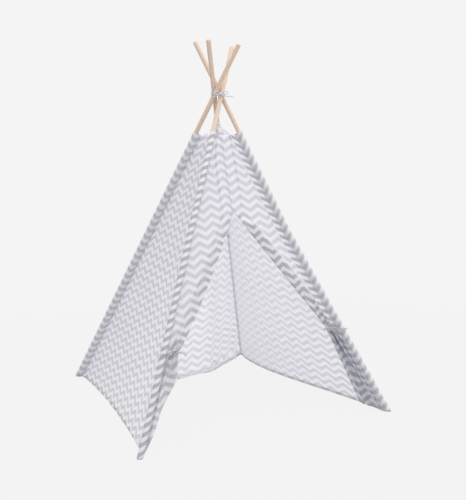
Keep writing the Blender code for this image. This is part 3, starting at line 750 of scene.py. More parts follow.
# %% [markdown]
# ## How a sleeve puckers
# Pulled tight over the pole, the tube puckers along its seam. A noise modifier would pucker
# it all round. This rule knows how far a point is from the seam, so that only the web beside
# the seam gathers, and the rest is only a little loose.

# %% How a sleeve puckers
PUCKER_PITCH, WEB_PUCKER, WEB_START = 0.021, 0.0032, SLEEVE_RADIUS * 0.4
LOOSE, LOOSE_ALONG, LOOSE_ROUND, LEG_SEED = 0.0005, 28, 90, Vector((7, 5, 0))
SLEEVE_WANDER, SLEEVE_WANDER_ALONG = 2.5, 9


def clamp(value):
    """The value, but no less than 0 and no more than 1."""
    return max(0.0, min(1.0, value))


def sleeve_swell(leg, station, inward, along):
    """How much wider than the drop the tube is here."""
    web = clamp((inward - WEB_START) / (SEAM_REACH - WEB_START))
    spot = Vector((station * LOOSE_ALONG, along * LOOSE_ROUND, leg.foot.dot(LEG_SEED)))
    wave = math.tau * station / PUCKER_PITCH
    wave += SLEEVE_WANDER * noise.noise(Vector((station * SLEEVE_WANDER_ALONG, 1, leg.foot.x)))
    out = max(0.0, LOOSE * noise.noise(spot)) * (1 - web)
    out += WEB_PUCKER * web * (1 - web) * max(0.0, math.sin(wave)) ** 2
    return 1 + out / SLEEVE_RADIUS


print("puckers every %.0f mm, up to %.1f mm high" % (PUCKER_PITCH * 1000, WEB_PUCKER * 250))

# %% [markdown]
# ## The sleeves
# A sleeve's foot is sewn shut as a pocket, and its top is an open hem. It could be lofted
# from circles. The same sheet as for the walls is laid round the drop instead, so that its
# print, its stitches and its thickness come in the same way as theirs.

# %% Sleeves
SLEEVE_STEPS, FLOOR_GAP = 300, 0.0008
FOOT_SHARES, FOOT_SHADE, FOOT_RUN = (0.6, 0.15), 0.55, 0.009
WEB_FADE, WEB_SINGLE, SEAM_OFF = 0.008, 0.2, 0.02
CUT_WIDER, CUT_LONGER = 1.04, 1.01


def sleeve(leg):
    feet = [(leg.level(FLOOR_GAP, x, y) - leg.at(0, x, y)).dot(leg.axis) for x, y, s in SECTION]
    run, shift = leg.canopy_top - min(feet), SHIFTS[leg.name]
    around, rows = len(SECTION) - 1, SLEEVE_STEPS + len(FOOT_SHARES)

    def place(u, v):
        column, row = round(u * around), round(v * rows)
        inward, turned, along = SECTION[column]
        top = leg.canopy_top + TOP_SLANT.get(leg.name, 0.0) * (inward + SLEEVE_RADIUS)
        station = top + (feet[column] - top) * min(1.0, row / SLEEVE_STEPS)
        if row > SLEEVE_STEPS:
            return leg.at(station, inward, turned * FOOT_SHARES[row - SLEEVE_STEPS - 1])
        size = sleeve_swell(leg, station, inward, along)
        return leg.at(station, inward * (size if inward < 0 else 1), turned * size)

    def printed(points):
        facts = []
        for row in range(rows + 1):
            below = run * min(1.0, row / SLEEVE_STEPS)
            # Each sleeve's shade and the last millimetres of its foot are painted shade, carried as
            # extra layers.
            shade = SLEEVE_SHADE[leg.name] + FOOT_SHADE * max(0.0, 1 - (run - below) / FOOT_RUN)
            facts.append([])
            for *_, along in SECTION:
                layers = min(1.0 + shade, (GIRTH / 2 - abs(along)) / WEB_FADE - WEB_SINGLE)
                x = along + shift
                facts[-1].append((x, below + steeper(leg, x), SEAM_OFF, below,
                                  layers * SLEEVE_LAYERS[leg.name]))
        return facts

    across, down = ([step / count for step in range(count + 1)] for count in (around, rows))
    piece, area = cloth(leg.name + "_sewn_sleeve", across, down, place, printed,
                        outside=SLEEVE_CLOTH[leg.name])
    finish(piece, leg.body, "sleeve_cotton", leg.name + "_sleeve")
    round(GIRTH * CUT_WIDER, 4)
    round(run * CUT_LONGER, 3)
    return run


RUNS = [sleeve(leg) for leg in LEGS.values()]
print("sleeves:", [round(run, 3) for run in RUNS], "m")

# %% [markdown]
# ## Where the print lies
# The panels were cut from printed cloth, each at its own place, and pulling bends the print
# a little more. Drawing the zigzags by hand along every panel would never end. A few
# numbers a panel, read off the photograph, say where a row and a turn of the zigzag lie
# and how they drift, tilt, bend, twist and crowd from there.

# %% Where the print lies
PRINTS = {
    "left": dict(below=0.65, aside=0.0, column=0.355, drift=1.03, row=0.73, tilt=-0.74,
                 pitch=0.03724, period=0.0754, bend=-2.4),
    "right": dict(below=0.95, aside=0.0, column=0.68, drift=-0.68, row=0.25, tilt=0.35,
                  pitch=0.03836, period=0.0725, bend=2.2, crowd=4.6),
    "back": dict(below=1.05, aside=-0.25, column=0.95, drift=0.0, row=0.50, tilt=0.0,
                 pitch=0.0380, period=0.0760, twist=-10.6),
    "front_left": dict(below=0.30, aside=-0.10, column=0.52, drift=0.0, row=-0.04, tilt=2.55,
                       pitch=0.0370, period=0.0780),
    "front_right": dict(below=0.20, aside=-0.07, column=0.29, drift=0.0, row=0.26, tilt=0.35,
                        pitch=0.0380, period=0.0790),
}


def on_print(kind, across, down):
    """Where a point lies on the print, from its metres across and down the panel."""
    fit = PRINTS[kind]
    aside, below = across - fit["aside"], down - fit["below"]
    column = aside / fit["period"] + fit["column"] + fit["drift"] * below
    column += fit.get("crowd", 0.0) * aside ** 2
    tilt = fit["tilt"] + fit.get("twist", 0.0) * below + fit.get("bend", 0.0) * aside
    row = below / fit["pitch"] + fit["row"] + tilt * aside
    return column * ZIGZAG, row * ROW_PITCH


print("the print is placed on", len(PRINTS), "panels")

# %% [markdown]
# ## How hung cloth lies
# Cloth between two poles is drawn on to the sleeves' seams, gathers a little along them and
# is slack in the middle. Each of these is a small rule of its own, so that every panel can
# add the ones that it needs.

# %% How hung cloth lies
SEAM_PLACE, SEAM_ASIDE = 0.0253, 0.0013
SEAM_LAP, LAP_ASIDE, LAP_RUN = 0.0018, 0.0006, 0.006
PUCKER_DEPTH, PUCKER_FADE, PUCKER_WANDER, PUCKER_WANDER_ALONG = 0.0011, 0.016, 1.6, 11
SLACK_ROUGHNESS, SLACK_RATIO, SLACK_OCTAVES = 0.8, 2.1, 3


def seam(leg, towards, height):
    """Where a panel towards that leg meets this leg's sleeve, at this height."""
    return leg.level(height, SEAM_PLACE, leg.hand(towards) * SEAM_ASIDE)


def lap(leg, towards, edge):
    """How far cloth this near its edge is drawn on to the sleeve's seam."""
    near = max(0.0, 1 - edge / LAP_RUN)
    return (leg.turn * leg.hand(towards) * LAP_ASIDE - leg.inward * SEAM_LAP) * near


def top_height(leg):
    """The height of the walls' top beside a sleeve, whose own top may be slanted."""
    slant = TOP_SLANT.get(leg.name, 0.0) * (SEAM_PLACE + SLEEVE_RADIUS)
    return leg.at(leg.canopy_top + slant, SEAM_PLACE - SEAM_ASIDE).z


def hump(share, peak):
    """0 at both ends and 1 at the peak's share of the way."""
    warped = share ** (math.log(0.5) / math.log(peak)) if share > 0 else 0.0
    return 4 * warped * (1 - warped)


def puckers(along, edge, seed):
    """Small gathers along a sewn edge, which fade away from it."""
    wander = PUCKER_WANDER * noise.noise(Vector((along * PUCKER_WANDER_ALONG, seed, 0)))
    gather = math.sin(math.tau * along / PUCKER_PITCH + wander)
    return PUCKER_DEPTH * math.exp(-edge / PUCKER_FADE) * gather


def slack(point, size, depth, seed):
    """Soft unevenness of hanging cloth, of this size across."""
    spot = point / size + Vector((seed, 0, 0))
    return depth * noise.fractal(spot, SLACK_ROUGHNESS, SLACK_RATIO, SLACK_OCTAVES)


print("walls start at", {name: round(top_height(leg), 3) for name, leg in LEGS.items()}, "m")

# %% [markdown]
# ## The three walls
# Between two sleeves hangs one curved sheet. It is bowed towards the inside of the tent,
# because the cloth is wider than the stance. The back wall is slackest: it stands in soft
# folds and its foot lies on the floor. A simulated sheet would hang differently from its
# solid. The same rule that shaped the solid places the points here, with more of them.

# %% The walls' sizes
HEM_HEIGHT = 0.0024
WALLS = {
    "left": dict(legs=("rear_left", "front_left"), columns=56, bow=0.024, peak=0.42, laid=0.0,
                 folds=0, dip=0.008, dip_peak=0.42, hem_shade=1.6, fullness=1.0),
    "right": dict(legs=("front_right", "rear_right"), columns=56, bow=0.052, peak=0.70, laid=0.0,
                  folds=0, dip=0.011, dip_peak=0.22, hem_shade=1.5, fullness=1.0),
    "back": dict(legs=("rear_right", "rear_left"), columns=84, bow=0.205, peak=0.54, laid=0.070,
                 folds=4, dip=0.008, dip_peak=0.54, hem_shade=0.0, fullness=1.15),
}
LAID_ROUNDING, LAID_POWER, DIP_POWER, DIP_SHARP, FOLD_DEPTH = 0.4, 4, 4, 1.5, 0.011
SLACK_SIZE, SLACK_DEPTH, SLACK_LEAST, SLACK_RUN, PUCKER_START = 0.16, 0.0045, 0.3, 0.05, 0.004
EDGE_SHARES, EDGE_SHARE = [0.0, 0.003, 0.007, 0.012, 0.018], 0.026
WALL_ROWS, HEM_ROWS, WALL_RUN = 150, 4, 1.25


def wall_rule(facts, first, second):
    """The rule that places a wall's points."""
    way = (second.foot - first.foot).normalized()
    inward = Vector((-way.y, way.x, 0))
    if inward.dot(CROSSING - first.foot) < 0:
        inward = -inward

    def place(u, v):
        swell = hump(u, facts["peak"])
        laid = facts["laid"] * swell
        ends = []
        for leg, other in ((first, second), (second, first)):
            top = top_height(leg)
            ends.append(seam(leg, other, top + (HEM_HEIGHT - top) * v))
        span, point = (ends[1] - ends[0]).length, ends[0].lerp(ends[1], u)
        bow = span * facts["bow"] * swell
        bow += FOLD_DEPTH * v * math.sin(math.tau * facts["folds"] * u) * swell
        dip = facts["dip"] * hump(u, facts["dip_peak"]) ** DIP_SHARP
        height = point.z - HEM_HEIGHT - laid * v ** LAID_POWER - dip * (1 - v) ** DIP_POWER
        rounding = laid * LAID_ROUNDING
        kept = 0.5 * (height + math.hypot(height, rounding)) if rounding else height
        edge, (near, other) = min(u, 1 - u) * span, (first, second) if u < 0.5 else (second, first)
        ripple = puckers((point - near.foot).length, edge, near.foot.x)
        ripple *= min(1.0, edge / PUCKER_START)
        free = math.sqrt(max(0.0, 4 * u * (1 - u))) * min(1.0, height / SLACK_RUN + SLACK_LEAST)
        ripple += slack(point, SLACK_SIZE, SLACK_DEPTH, near.foot.y) * free
        base = Vector((point.x, point.y, HEM_HEIGHT + kept))
        return base + inward * (bow + kept - height + ripple) + lap(near, other, edge)

    return place


print("walls between", {kind: facts["legs"] for kind, facts in WALLS.items()})

# %% [markdown]
# ## Hang the walls
# Pulled cloth keeps its print, so a point's place on the print is how far it is along the
# cloth, and not how wide the opening is there. The lengths are measured on the points once
# they are placed. Close to each seam the points are nearer together, for the puckers.

# %% Hang the walls
def wall_print(kind, across, points):
    """A wall's print, measured along its cloth from the middle and from the top."""
    middle = min(range(len(across)), key=lambda column: abs(across[column] - 0.5))
    below = running_lengths([line[middle] for line in points])
    facts = []
    for line, down in zip(points, below):
        runs = running_lengths(line)
        shade = WALLS[kind]["hem_shade"] if line is points[-1] else 0.0
        facts.append([(*on_print(kind, run - runs[middle], down), min(run, runs[-1] - run),
                       below[-1] - down, shade) for run in runs])
    return facts


def wall(kind):
    facts = WALLS[kind]
    columns, inner = facts["columns"], 1 - 2 * EDGE_SHARE
    across = EDGE_SHARES + [EDGE_SHARE + inner * step / columns for step in range(columns + 1)]
    across += [1 - share for share in reversed(EDGE_SHARES)]
    hem = HEM_BAND / WALL_RUN
    down = [step / WALL_ROWS * (1 - hem) for step in range(WALL_ROWS)]
    down += [1 - hem * (1 - step / HEM_ROWS) for step in range(HEM_ROWS + 1)]
    place = wall_rule(facts, *(LEGS[name] for name in facts["legs"]))
    return cloth(kind + "_canopy_wall", across, down, place,
                 lambda points: wall_print(kind, across, points))


WALL_PIECES = {kind: wall(kind) for kind in WALLS}
print("walls:", {kind: round(area, 3) for kind, (piece, area) in WALL_PIECES.items()}, "m2")

# %% [markdown]
# ## Finish the walls
# Each wall is shaded smooth and takes the place of its solid. It rides on no leg, so its
# place is baked into its points.

for kind, (piece, area) in WALL_PIECES.items():
    first, second = (LEGS[name] for name in WALLS[kind]["legs"])
    finish(piece, None, "canopy_cotton", kind + "_wall")
    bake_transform(piece)

# %% [markdown]
# ## Bindings
# Where the back wall meets a side wall, a folded strip of the same cloth is sewn over the
# seam inside. A straight strip would cut into the walls or float off them. Its edges are
# found on the walls themselves, where they come nearest to a line beside the seam.

# %% Bindings of the two rear seams
BINDING_ASIDE, BINDING_OFF, BINDING_SAG, BINDING_WIDTH = 0.014, 0.0016, 0.0014, 0.01
BINDING_TOP, BINDING_FOOT, BINDING_ROWS, BINDING_COLUMNS = 0.004, 0.012, 200, 6
BINDING_SHARES = [step / BINDING_COLUMNS for step in range(BINDING_COLUMNS + 1)]


def binding(leg, *walls):
    top = top_height(leg) - BINDING_TOP

    def place(u, v):
        seat = leg.level(top + (BINDING_FOOT - top) * v, SEAM_PLACE, 0)
        aim, ends = seat + leg.inward * BINDING_ASIDE, []
        for kind in walls:
            point = WALL_PIECES[kind][0].closest_point_on_mesh(aim)[1]
            ends.append(point + (aim - point).normalized() * BINDING_OFF)
        return ends[0].lerp(ends[1], u) - leg.inward * (BINDING_SAG * 4 * u * (1 - u))

    def printed(points):
        return [[((u - 0.5) * BINDING_WIDTH, top * row / BINDING_ROWS, SEAM_OFF, SEAM_OFF, 0.0)
                 for u in BINDING_SHARES] for row in range(BINDING_ROWS + 1)]

    down = [step / BINDING_ROWS for step in range(BINDING_ROWS + 1)]
    strip = cloth(leg.name + "_seam_binding", BINDING_SHARES, down, place, printed, outside=INSIDE)
    return finish(strip[0], leg.body, "canopy_cotton")


BINDINGS = {"right": [binding(LEGS["rear_right"], "back", "right")],
            "left": [binding(LEGS["rear_left"], "left", "back")], "back": []}
print("bindings:", sum(len(pieces) for pieces in BINDINGS.values()))

# %% [markdown]
# ## How wide the walls were cut
# A side wall was cut as wide as its poles' feet stand apart, and the back wall wider, which
# gives it its folds. The widths are printed.

for kind, (piece, area) in WALL_PIECES.items():
    first, second = WALLS[kind]["legs"]
    width = (LEGS[first].foot - LEGS[second].foot).length * WALLS[kind]["fullness"]
    first + "_sewn_sleeve"
    second + "_sewn_sleeve"
    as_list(BINDINGS[kind])
    print(kind, "wall: cut %.2f m wide" % width)

# %% [markdown]
# ## The front halves
# The front is cut down the middle. Above the slit the halves are sewn together. Below it
# each free edge is drawn aside to its tie. The whole shape follows from a few lines: the
# sleeve's seam, the middle seam, the tie and the free corner below it.

# %% Lines of a front half
def by_side(left, right):
    """Two values, each under its side's name."""
    return {"left": left, "right": right}


SEAM_SHIFT, SLIT_HEIGHT = 0.017, 0.867
TIE_HEIGHT, TIE_REACH = by_side(0.349, 0.357), by_side(0.048, 0.046)
CORNER_HEIGHT, CORNER_REACH = by_side(0.255, 0.054), by_side(0.067, 0.085)
EDGE_SWELL, EDGE_SWELL_PEAK = by_side(0.024, -0.012), by_side(0.55, 0.25)


class FrontHalf:
    """The lines of one half, all in the plane between its sleeve's seam and the other's."""

    def __init__(self, side, leg, opposite):
        self.side, self.leg, self.opposite = side, leg, opposite
        self.hand = -1 if side == "left" else 1
        self.knot = self.beside_seam(TIE_HEIGHT[side], TIE_REACH[side])
        self.corner = self.beside_seam(CORNER_HEIGHT[side], CORNER_REACH[side])
        self.seam_top = self.level_with(top_height(leg), -SEAM_SHIFT)
        self.down = (self.level_with(HEM_HEIGHT, -SEAM_SHIFT) - self.seam_top).normalized()

    def outer(self, height):
        return seam(self.leg, self.opposite, height)

    def level_with(self, height, x):
        near, far = self.outer(height), seam(self.opposite, self.leg, height)
        return near + (far - near) * (x - near.x) / (far.x - near.x)

    def beside_seam(self, height, reach):
        return self.level_with(height, self.outer(height).x - self.hand * reach)

    def drawn(self, height):
        """0 where the halves are sewn together, and 1 at the tie."""
        return max(0.0, (SLIT_HEIGHT - height) / (SLIT_HEIGHT - TIE_HEIGHT[self.side]))

    def free_edge(self, height):
        seam_x, drawn = -SEAM_SHIFT + self.hand * GAP / 2, self.drawn(height)
        swell = EDGE_SWELL[self.side] * hump(drawn, EDGE_SWELL_PEAK[self.side]) ** 0.5
        return self.level_with(height, seam_x + (self.knot.x - seam_x) * drawn - self.hand * swell)


HALVES = {"left": FrontHalf("left", LEGS["front_left"], LEGS["front_right"]),
          "right": FrontHalf("right", LEGS["front_right"], LEGS["front_left"])}
print("ties at", {side: round(half.knot.z, 3) for side, half in HALVES.items()}, "m")

# %% [markdown]
# ## A row of the front's cloth
# From the sleeve, the cloth runs to a pleat, on as a band to the free edge, round it, and
# back behind itself as spare cloth. Bending a flat grid round such an edge by hand would
# pinch it. The grid is laid row by row instead, and all rows have the same columns.

# %% A row of the front's cloth
FOLD_RADIUS, SEAM_FOLD = 0.003, 0.0013
PLEATS, CREASE_HALF, CREASE_DEPTH = 2.5, 0.009, by_side(0.0, 0.006)
BAND_WIDTH, BAND_LIMIT = by_side(0.040, 0.046), 0.55
GATHER_DEPTH, GATHER_FADE, GATHER_COUNT, GATHER_RUN = 0.0042, 0.085, 13, 0.03
PANEL_STEPS, LAP_SHARE = 40, 0.02
PANEL_SHARES = [0.0, 0.006, 0.014] + [
    LAP_SHARE + (1 - LAP_SHARE) * step / PANEL_STEPS for step in range(1, PANEL_STEPS)]
CREASE_SHARES = [-1.0, -0.5, 0.0, 0.5, 1.0]
BAND_SHARES = [step / 8 for step in range(1, 9)]
ROUND_STEPS, BACK_STEPS = 6, 8
ROW_COLUMNS = len(PANEL_SHARES + CREASE_SHARES + BAND_SHARES) + ROUND_STEPS + BACK_STEPS


def gather(half, point):
    """How deep the folds are that run together in the tie."""
    away = point - half.knot
    fade = min(1.0, away.length / GATHER_RUN) * math.exp(-away.length / GATHER_FADE)
    angle = math.atan2(away.dot(half.down), away.x)
    return GATHER_DEPTH * fade * math.sin(GATHER_COUNT * angle)


def front_row(half, start, end, turned_back, pleat_depth, drawn):
    """Points of one row from the sleeve, round the free edge and back behind it, each with
    its distance from the edge on the front, or None once it is behind."""
    along = (end - start).normalized()
    inward = (along.cross(half.leg.axis) * half.hand).normalized()
    fold = SEAM_FOLD + (FOLD_RADIUS - SEAM_FOLD) * drawn
    run = (end - start).length - fold - CLOTH / 2
    pleat = run - min(BAND_WIDTH[half.side], BAND_LIMIT * run)

    def wave(reach):
        return pleat_depth * math.sin(math.pi * PLEATS * reach / run)

    stations = [pleat * share for share in PANEL_SHARES]
    stations += [pleat + CREASE_HALF * share for share in CREASE_SHARES]
    last = stations[-1]
    stations += [last + (run - last) * share for share in BAND_SHARES]
    out = []
    for reach in stations:
        crease = max(0.0, 1 - abs(reach - pleat) / CREASE_HALF)
        flat = start + along * reach
        depth = gather(half, flat) - wave(reach) - CREASE_DEPTH[half.side] * drawn * crease
        out.append((flat + inward * depth + lap(half.leg, half.opposite, reach), run - reach))
    for step in range(1, ROUND_STEPS + 1):
        angle = math.pi * step / ROUND_STEPS
        reach, depth = run + fold * math.sin(angle), fold * (1 - math.cos(angle))
        out.append((start + along * reach + inward * (depth - wave(run)), None))
    for step in range(1, BACK_STEPS + 1):
        reach = run - turned_back * step / BACK_STEPS
        depth = 2 * fold - wave(max(reach, 0))
        out.append((start + along * reach + inward * depth, None))
    return out


print("a row has", ROW_COLUMNS, "points")

# %% [markdown]
# ## The print on a front half
# On the panel the print is true to the cloth. Along the free edge the cloth lies in two
# layers, so its band is darker against the light, and it is painted darker as shade too. The
# crease beside it on the right gets a painted highlight: its print is faded pale. Next to the
# right sleeve, the sleeve's own strip runs on past the seam.

# %% The print on a row
BAND_SHADE, BAND_SOFT = by_side(0.75, 1.12), by_side(0.030, 0.010)
STRIP_WIDTH, STRIP_FADE, HIGHLIGHT_SIDE = by_side(0.0, 0.024), 0.006, "right"
FRONT_FADE = -0.15


def strip_print(leg, towards, reach, point):
    """The print of the sleeve's own strip, where it runs on past the seam."""
    x = SHIFTS[leg.name] - leg.hand(towards) * (GIRTH / 2 + reach)
    return x, leg.canopy_top - (point - leg.foot).dot(leg.axis) + steeper(leg, x)


def row_facts(half, row, below_slit, hem):
    """The print, the distances, and the layers with their painted shade and highlight, for each
    point of a row.
    """
    out, behind, last, side = [], 0.0, None, half.side
    band, strip = BAND_WIDTH[side], STRIP_WIDTH[side]
    for point, from_edge in row:
        below = (point - half.seam_top).dot(half.down)
        x, y = on_print("front_" + side, -abs(point.x + SEAM_SHIFT), below)
        reach, layers_shade_and_highlight = (point - row[0][0]).length, FRONT_FADE
        if from_edge is None:
            behind += (point - last).length
            from_edge = -behind
        if below_slit > 0:
            share = clamp((band - from_edge) / BAND_SOFT[side]) * BAND_SHADE[side]
            layers_shade_and_highlight = FRONT_FADE + (share - FRONT_FADE) * share * below_slit
            # A painted highlight along the crease, made by fading its print.
            crease_highlight = 1 - abs(from_edge - band - CREASE_HALF) / CREASE_HALF
            if side == HIGHLIGHT_SIDE and crease_highlight > 0:
                layers_shade_and_highlight = min(layers_shade_and_highlight, -crease_highlight * below_slit)
        if reach < strip:
            x, y = strip_print(half.leg, half.opposite, reach, point)
            layers_shade_and_highlight = max(layers_shade_and_highlight, min(1.0, (strip - reach) / STRIP_FADE))
        last = point
        out.append((x, y, reach, hem, layers_shade_and_highlight))
    return out


print("bands:", {side: round(width * 1000) for side, width in BAND_WIDTH.items()}, "mm wide")

# %% [markdown]
# ## Sew the front
# Down to the slit, only a seam's allowance is turned back. From there the spare cloth grows
# and is pleated into the tie. When the sides fold together, the real cloth crumples. Each
# half rides on its own leg, which carries all of it.

# %% Front halves
SEAM_ALLOWANCE, TURNED_BACK, FULL_TURN, OPENING = 0.008, 0.32, 0.5, 8
PLEAT_DEPTH, PLEAT_RUN = 0.006, 0.22
FRONT_ROWS, NO_HEM, FRONT_FLAT = 130, 9.0, (0.42, 0.93)
SIDE_FOLD_SHARE, SQUASH_HEIGHT = 0.456, 0.5


def rows_as_cloth(name, rows, facts, half, outside=OUTSIDE):
    """A sheet from its rows of points, all with the same number of columns."""
    last_row, last_column = len(rows) - 1, ROW_COLUMNS - 1
    across = [step / last_column for step in range(ROW_COLUMNS)]
    down = [step / last_row for step in range(len(rows))]

    def place(u, v):
        return rows[round(v * last_row)][round(u * last_column)][0]

    return cloth(name, across, down, place, lambda points: facts, half.side == "right", outside)


def front_panel(half):
    top, bottom = top_height(half.leg), TIE_HEIGHT[half.side]
    rows, facts = [], []
    for step in range(FRONT_ROWS + 1):
        height = top + (bottom - top) * step / FRONT_ROWS
        start, end, drawn = half.outer(height), half.free_edge(height), half.drawn(height)
        full = TURNED_BACK * (end - start).length
        spare = SEAM_ALLOWANCE + (full - SEAM_ALLOWANCE) * min(1, drawn / FULL_TURN)
        near, opened = max(0.0, 1 - (height - bottom) / PLEAT_RUN), min(1.0, drawn * OPENING)
        rows.append(front_row(half, start, end, spare, PLEAT_DEPTH * near ** 2, opened))
        facts.append(row_facts(half, rows[-1], opened, NO_HEM))
    return rows_as_cloth("front_%s_canopy" % half.side, rows, facts, half)


for side, half in HALVES.items():
    piece, area = front_panel(half)
    finish(piece, half.leg.body, "canopy_cotton", "front_%s_half" % side)
    anchor, axis = half.outer(SQUASH_HEIGHT), half.leg.axis
    level = axis.cross(axis.cross(anchor - half.level_with(SQUASH_HEIGHT, 0.0))).normalized()
    tuple(anchor)
    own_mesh(piece)
    "front_%s_sewn_sleeve" % side

# %% [markdown]
# ## The flaps below the ties
# Below each tie the same cloth opens again and hangs beside the pole. Its own hem runs from
# the pole's foot up to the free corner, which the tie has lifted. It is laid row by row as
# the halves are. Out of the light, it stands in folds whose depths are dark. These are
# narrower than the mesh's own pleats, so a rule shades them and fades them out below.

# %% Flaps
FLAP_ROWS, FLAP_GAP, TAIL_PLEAT_DEPTH = 60, 0.0004, 0.012
FLAP_SHADE, FLAP_OUTSIDE = by_side(1.08, 1.42), by_side(FADED, OUTSIDE)
FLAP_BEND, FLAP_FLAT = (0.01, 0.16), (0.17, 0.38)
CREVICES = by_side(((0.019, 0.013), (0.032, 0.026)), ((0.015, 0.015), (0.031, 0.031)))
CREVICE_HALF, CREVICE_SHADE = 0.0024, 0.9
CREVICE_START, CREVICE_SLANT_END, CREVICE_END = 0.08, 0.45, 0.75


def crevice(side, reach, share):
    """How dark a fold's depth is, so far from the pole and so far down the flap."""
    slant = min(1.0, share / CREVICE_SLANT_END)
    away = min(abs(reach - high + (high - low) * slant) for high, low in CREVICES[side])
    fade = max(0.0, 1 - share / CREVICE_END) ** 0.5 * min(1.0, share / CREVICE_START)
    return math.exp(-(away / CREVICE_HALF) ** 2) * fade


def flap(half):
    top, side = TIE_HEIGHT[half.side] - FLAP_GAP, half.side
    rows, facts = [], []
    for step in range(FLAP_ROWS + 1):
        share = step / FLAP_ROWS
        start = half.outer(top + (HEM_HEIGHT - top) * share)
        end = half.knot.lerp(half.corner, share)
        length = (end - start).length
        depth = PLEAT_DEPTH + (TAIL_PLEAT_DEPTH - PLEAT_DEPTH) * share
        rows.append(front_row(half, start, end, TURNED_BACK * length, depth, 1.0))
        hem = (1 - share) * (half.corner - half.knot).length
        facts.append([])
        for (_, from_edge), fact in zip(rows[-1], row_facts(half, rows[-1], 1.0, hem)):
            deep = 0.0 if from_edge is None else crevice(side, length - from_edge, share)
            facts[-1].append((*fact[:4], FLAP_SHADE[side] + CREVICE_SHADE * deep))
    return rows_as_cloth("%s_hanging_flap" % side, rows, facts, half, FLAP_OUTSIDE[side])


for side, half in HALVES.items():
    piece, area = flap(half)
    finish(piece, None, "canopy_cotton", "%s_flap" % side)
    start, end = (half.knot - Vector((0, 0, drop)) for drop in FLAP_BEND)
    "%s_flap_tail" % side
    tuple(start)
    tuple(end)
    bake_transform(piece)
    "front_%s_sewn_sleeve" % side
    "%s_tie" % side

# %% [markdown]
# ## Cotton cord
# The lashing and the two ties are a thin round braid of white cotton. Between the strands
# it is painted darker as shade, most of all on the ties, which lie in the shade. The mesh
# keeps on each point whether it is on a strand or between two, and the material reads that.

# %% The cord's material
CORD_SOILED, CORD_FIBRES, CORD_PATCHES, CORD_DETAIL = srgb(205, 204, 212), 2600.0, 90.0, 3.0


def cord_material(name, groove_shade, strand_colour):
    material, shader, start = new_material(name)
    place = start.node("ShaderNodeUVMap", {}, uv_map="Print")
    fibre = place.stretched(1.0, 0.3, 1.0).noise(CORD_FIBRES, CORD_DETAIL)
    grey = place.noise(CORD_PATCHES, CORD_DETAIL)
    strand = start.node("ShaderNodeAttribute", {}, "Fac", attribute_name="strand")
    # The grooves between strands are painted shade.
    colour = (strand * 0.75 + fibre * 0.25).mix(groove_shade, strand_colour)
    colour = (grey.step(0.4, 0.8) * 0.2).mix(colour, CORD_SOILED)
    plug(shader, start, Base_Color=colour, Roughness=0.75 + fibre * 0.15,
         Normal=fibre.bump(0.4, 0.0003), Sheen_Weight=0.2)
    return material


CORD = cord_material("braided_cord", srgb(160, 161, 170), srgb(246, 246, 249))
SHADED_TIE_CORD = cord_material("braided_tie_cord", srgb(76, 80, 92), srgb(240, 241, 245))
print("cords:", CORD.name, "and", SHADED_TIE_CORD.name)

# %% [markdown]
# ## A smooth line through a route
# A route has few points, and a cord needs many at equal steps. A curve object could be
# resampled, but its steps would not be equal. A smooth curve through the points is worked
# out here, and then walked along.

# %% A smooth line through a route
CURVE_STEPS, LEAST_RINGS, NO_LENGTH = 8, 4, 1e-9


def smooth(points):
    """Points on a curve that passes through all of these."""
    fine = []
    for index in range(len(points) - 1):
        a, b = points[max(index - 1, 0)], points[index]
        c, d = points[index + 1], points[min(index + 2, len(points) - 1)]
        for step in range(CURVE_STEPS):
            t = step / CURVE_STEPS
            fine.append(((2 * b) + (c - a) * t + (2 * a - 5 * b + 4 * c - d) * t * t
                         + (3 * b - a - 3 * c + d) * t ** 3) / 2)
    return fine + [points[-1]]


def resample(points, step):
    """Evenly spaced points along a smooth curve through the route, and its length."""
    fine = smooth(points)
    lengths = running_lengths(fine)
    count = max(LEAST_RINGS, round(lengths[-1] / step))
    out, index = [], 0
    for number in range(count + 1):
        want = lengths[-1] * number / count
        while index < len(fine) - 2 and lengths[index + 1] < want:
            index += 1
        stretch = max(lengths[index + 1] - lengths[index], NO_LENGTH)
        out.append(fine[index].lerp(fine[index + 1], clamp((want - lengths[index]) / stretch)))
    return out, lengths[-1]


print("a route gets", CURVE_STEPS, "steps between its points")

# %% [markdown]
# ## Braided cord
# A braid's strands cross in two directions, so the tube's radius follows the product of two
# waves that wind opposite ways. A bevelled curve has only a plain round section, and a
# bump would leave the outline smooth. So the tube is made ring by ring along its route.

# %% Rings of a braid
CORD_RADIUS, STRANDS, BRAID_PITCH, RELIEF = 0.002, 4, 0.0052, 0.00034
CORD_SIDES, RING_STEP = 24, 0.0008
CAP_RUN, CAP_WIDTH, CAP_RISE = 0.7, 0.25, 0.05


def taper(close, radius):
    """How wide the tube is this close to its end."""
    share = 1 - min(1.0, close / (radius * CAP_RUN))
    return math.sqrt(max(0.0, 1 - share ** 2)) * (1 - CAP_WIDTH) + CAP_WIDTH


def rings_of_points(path, length, radius):
    """Points, places on the surface and strand heights, ring by ring."""
    verts, uvs, strands = [], [], []
    side = (path[1] - path[0]).normalized().orthogonal().normalized()
    for index, travelled in enumerate(running_lengths(path)):
        ahead = path[min(index + 1, len(path) - 1)] - path[max(index - 1, 0)]
        ahead = ahead.normalized()
        side = (side - ahead * side.dot(ahead)).normalized()
        other, wind = ahead.cross(side), math.tau * travelled / BRAID_PITCH
        width = taper(min(travelled, length - travelled), radius)
        for number in range(CORD_SIDES):
            angle = math.tau * number / CORD_SIDES
            cross = math.cos(STRANDS * angle + wind) * math.cos(STRANDS * angle - wind)
            size = (radius - RELIEF * 0.5 + RELIEF * cross * 0.5) * width
            out = side * math.cos(angle) + other * math.sin(angle)
            verts.append(path[index] + out * size)
            uvs.append((angle * radius, travelled))
            strands.append(0.5 + 0.5 * cross)
    return verts, uvs, strands


print("cord: %.0f mm thick" % (2000 * CORD_RADIUS))

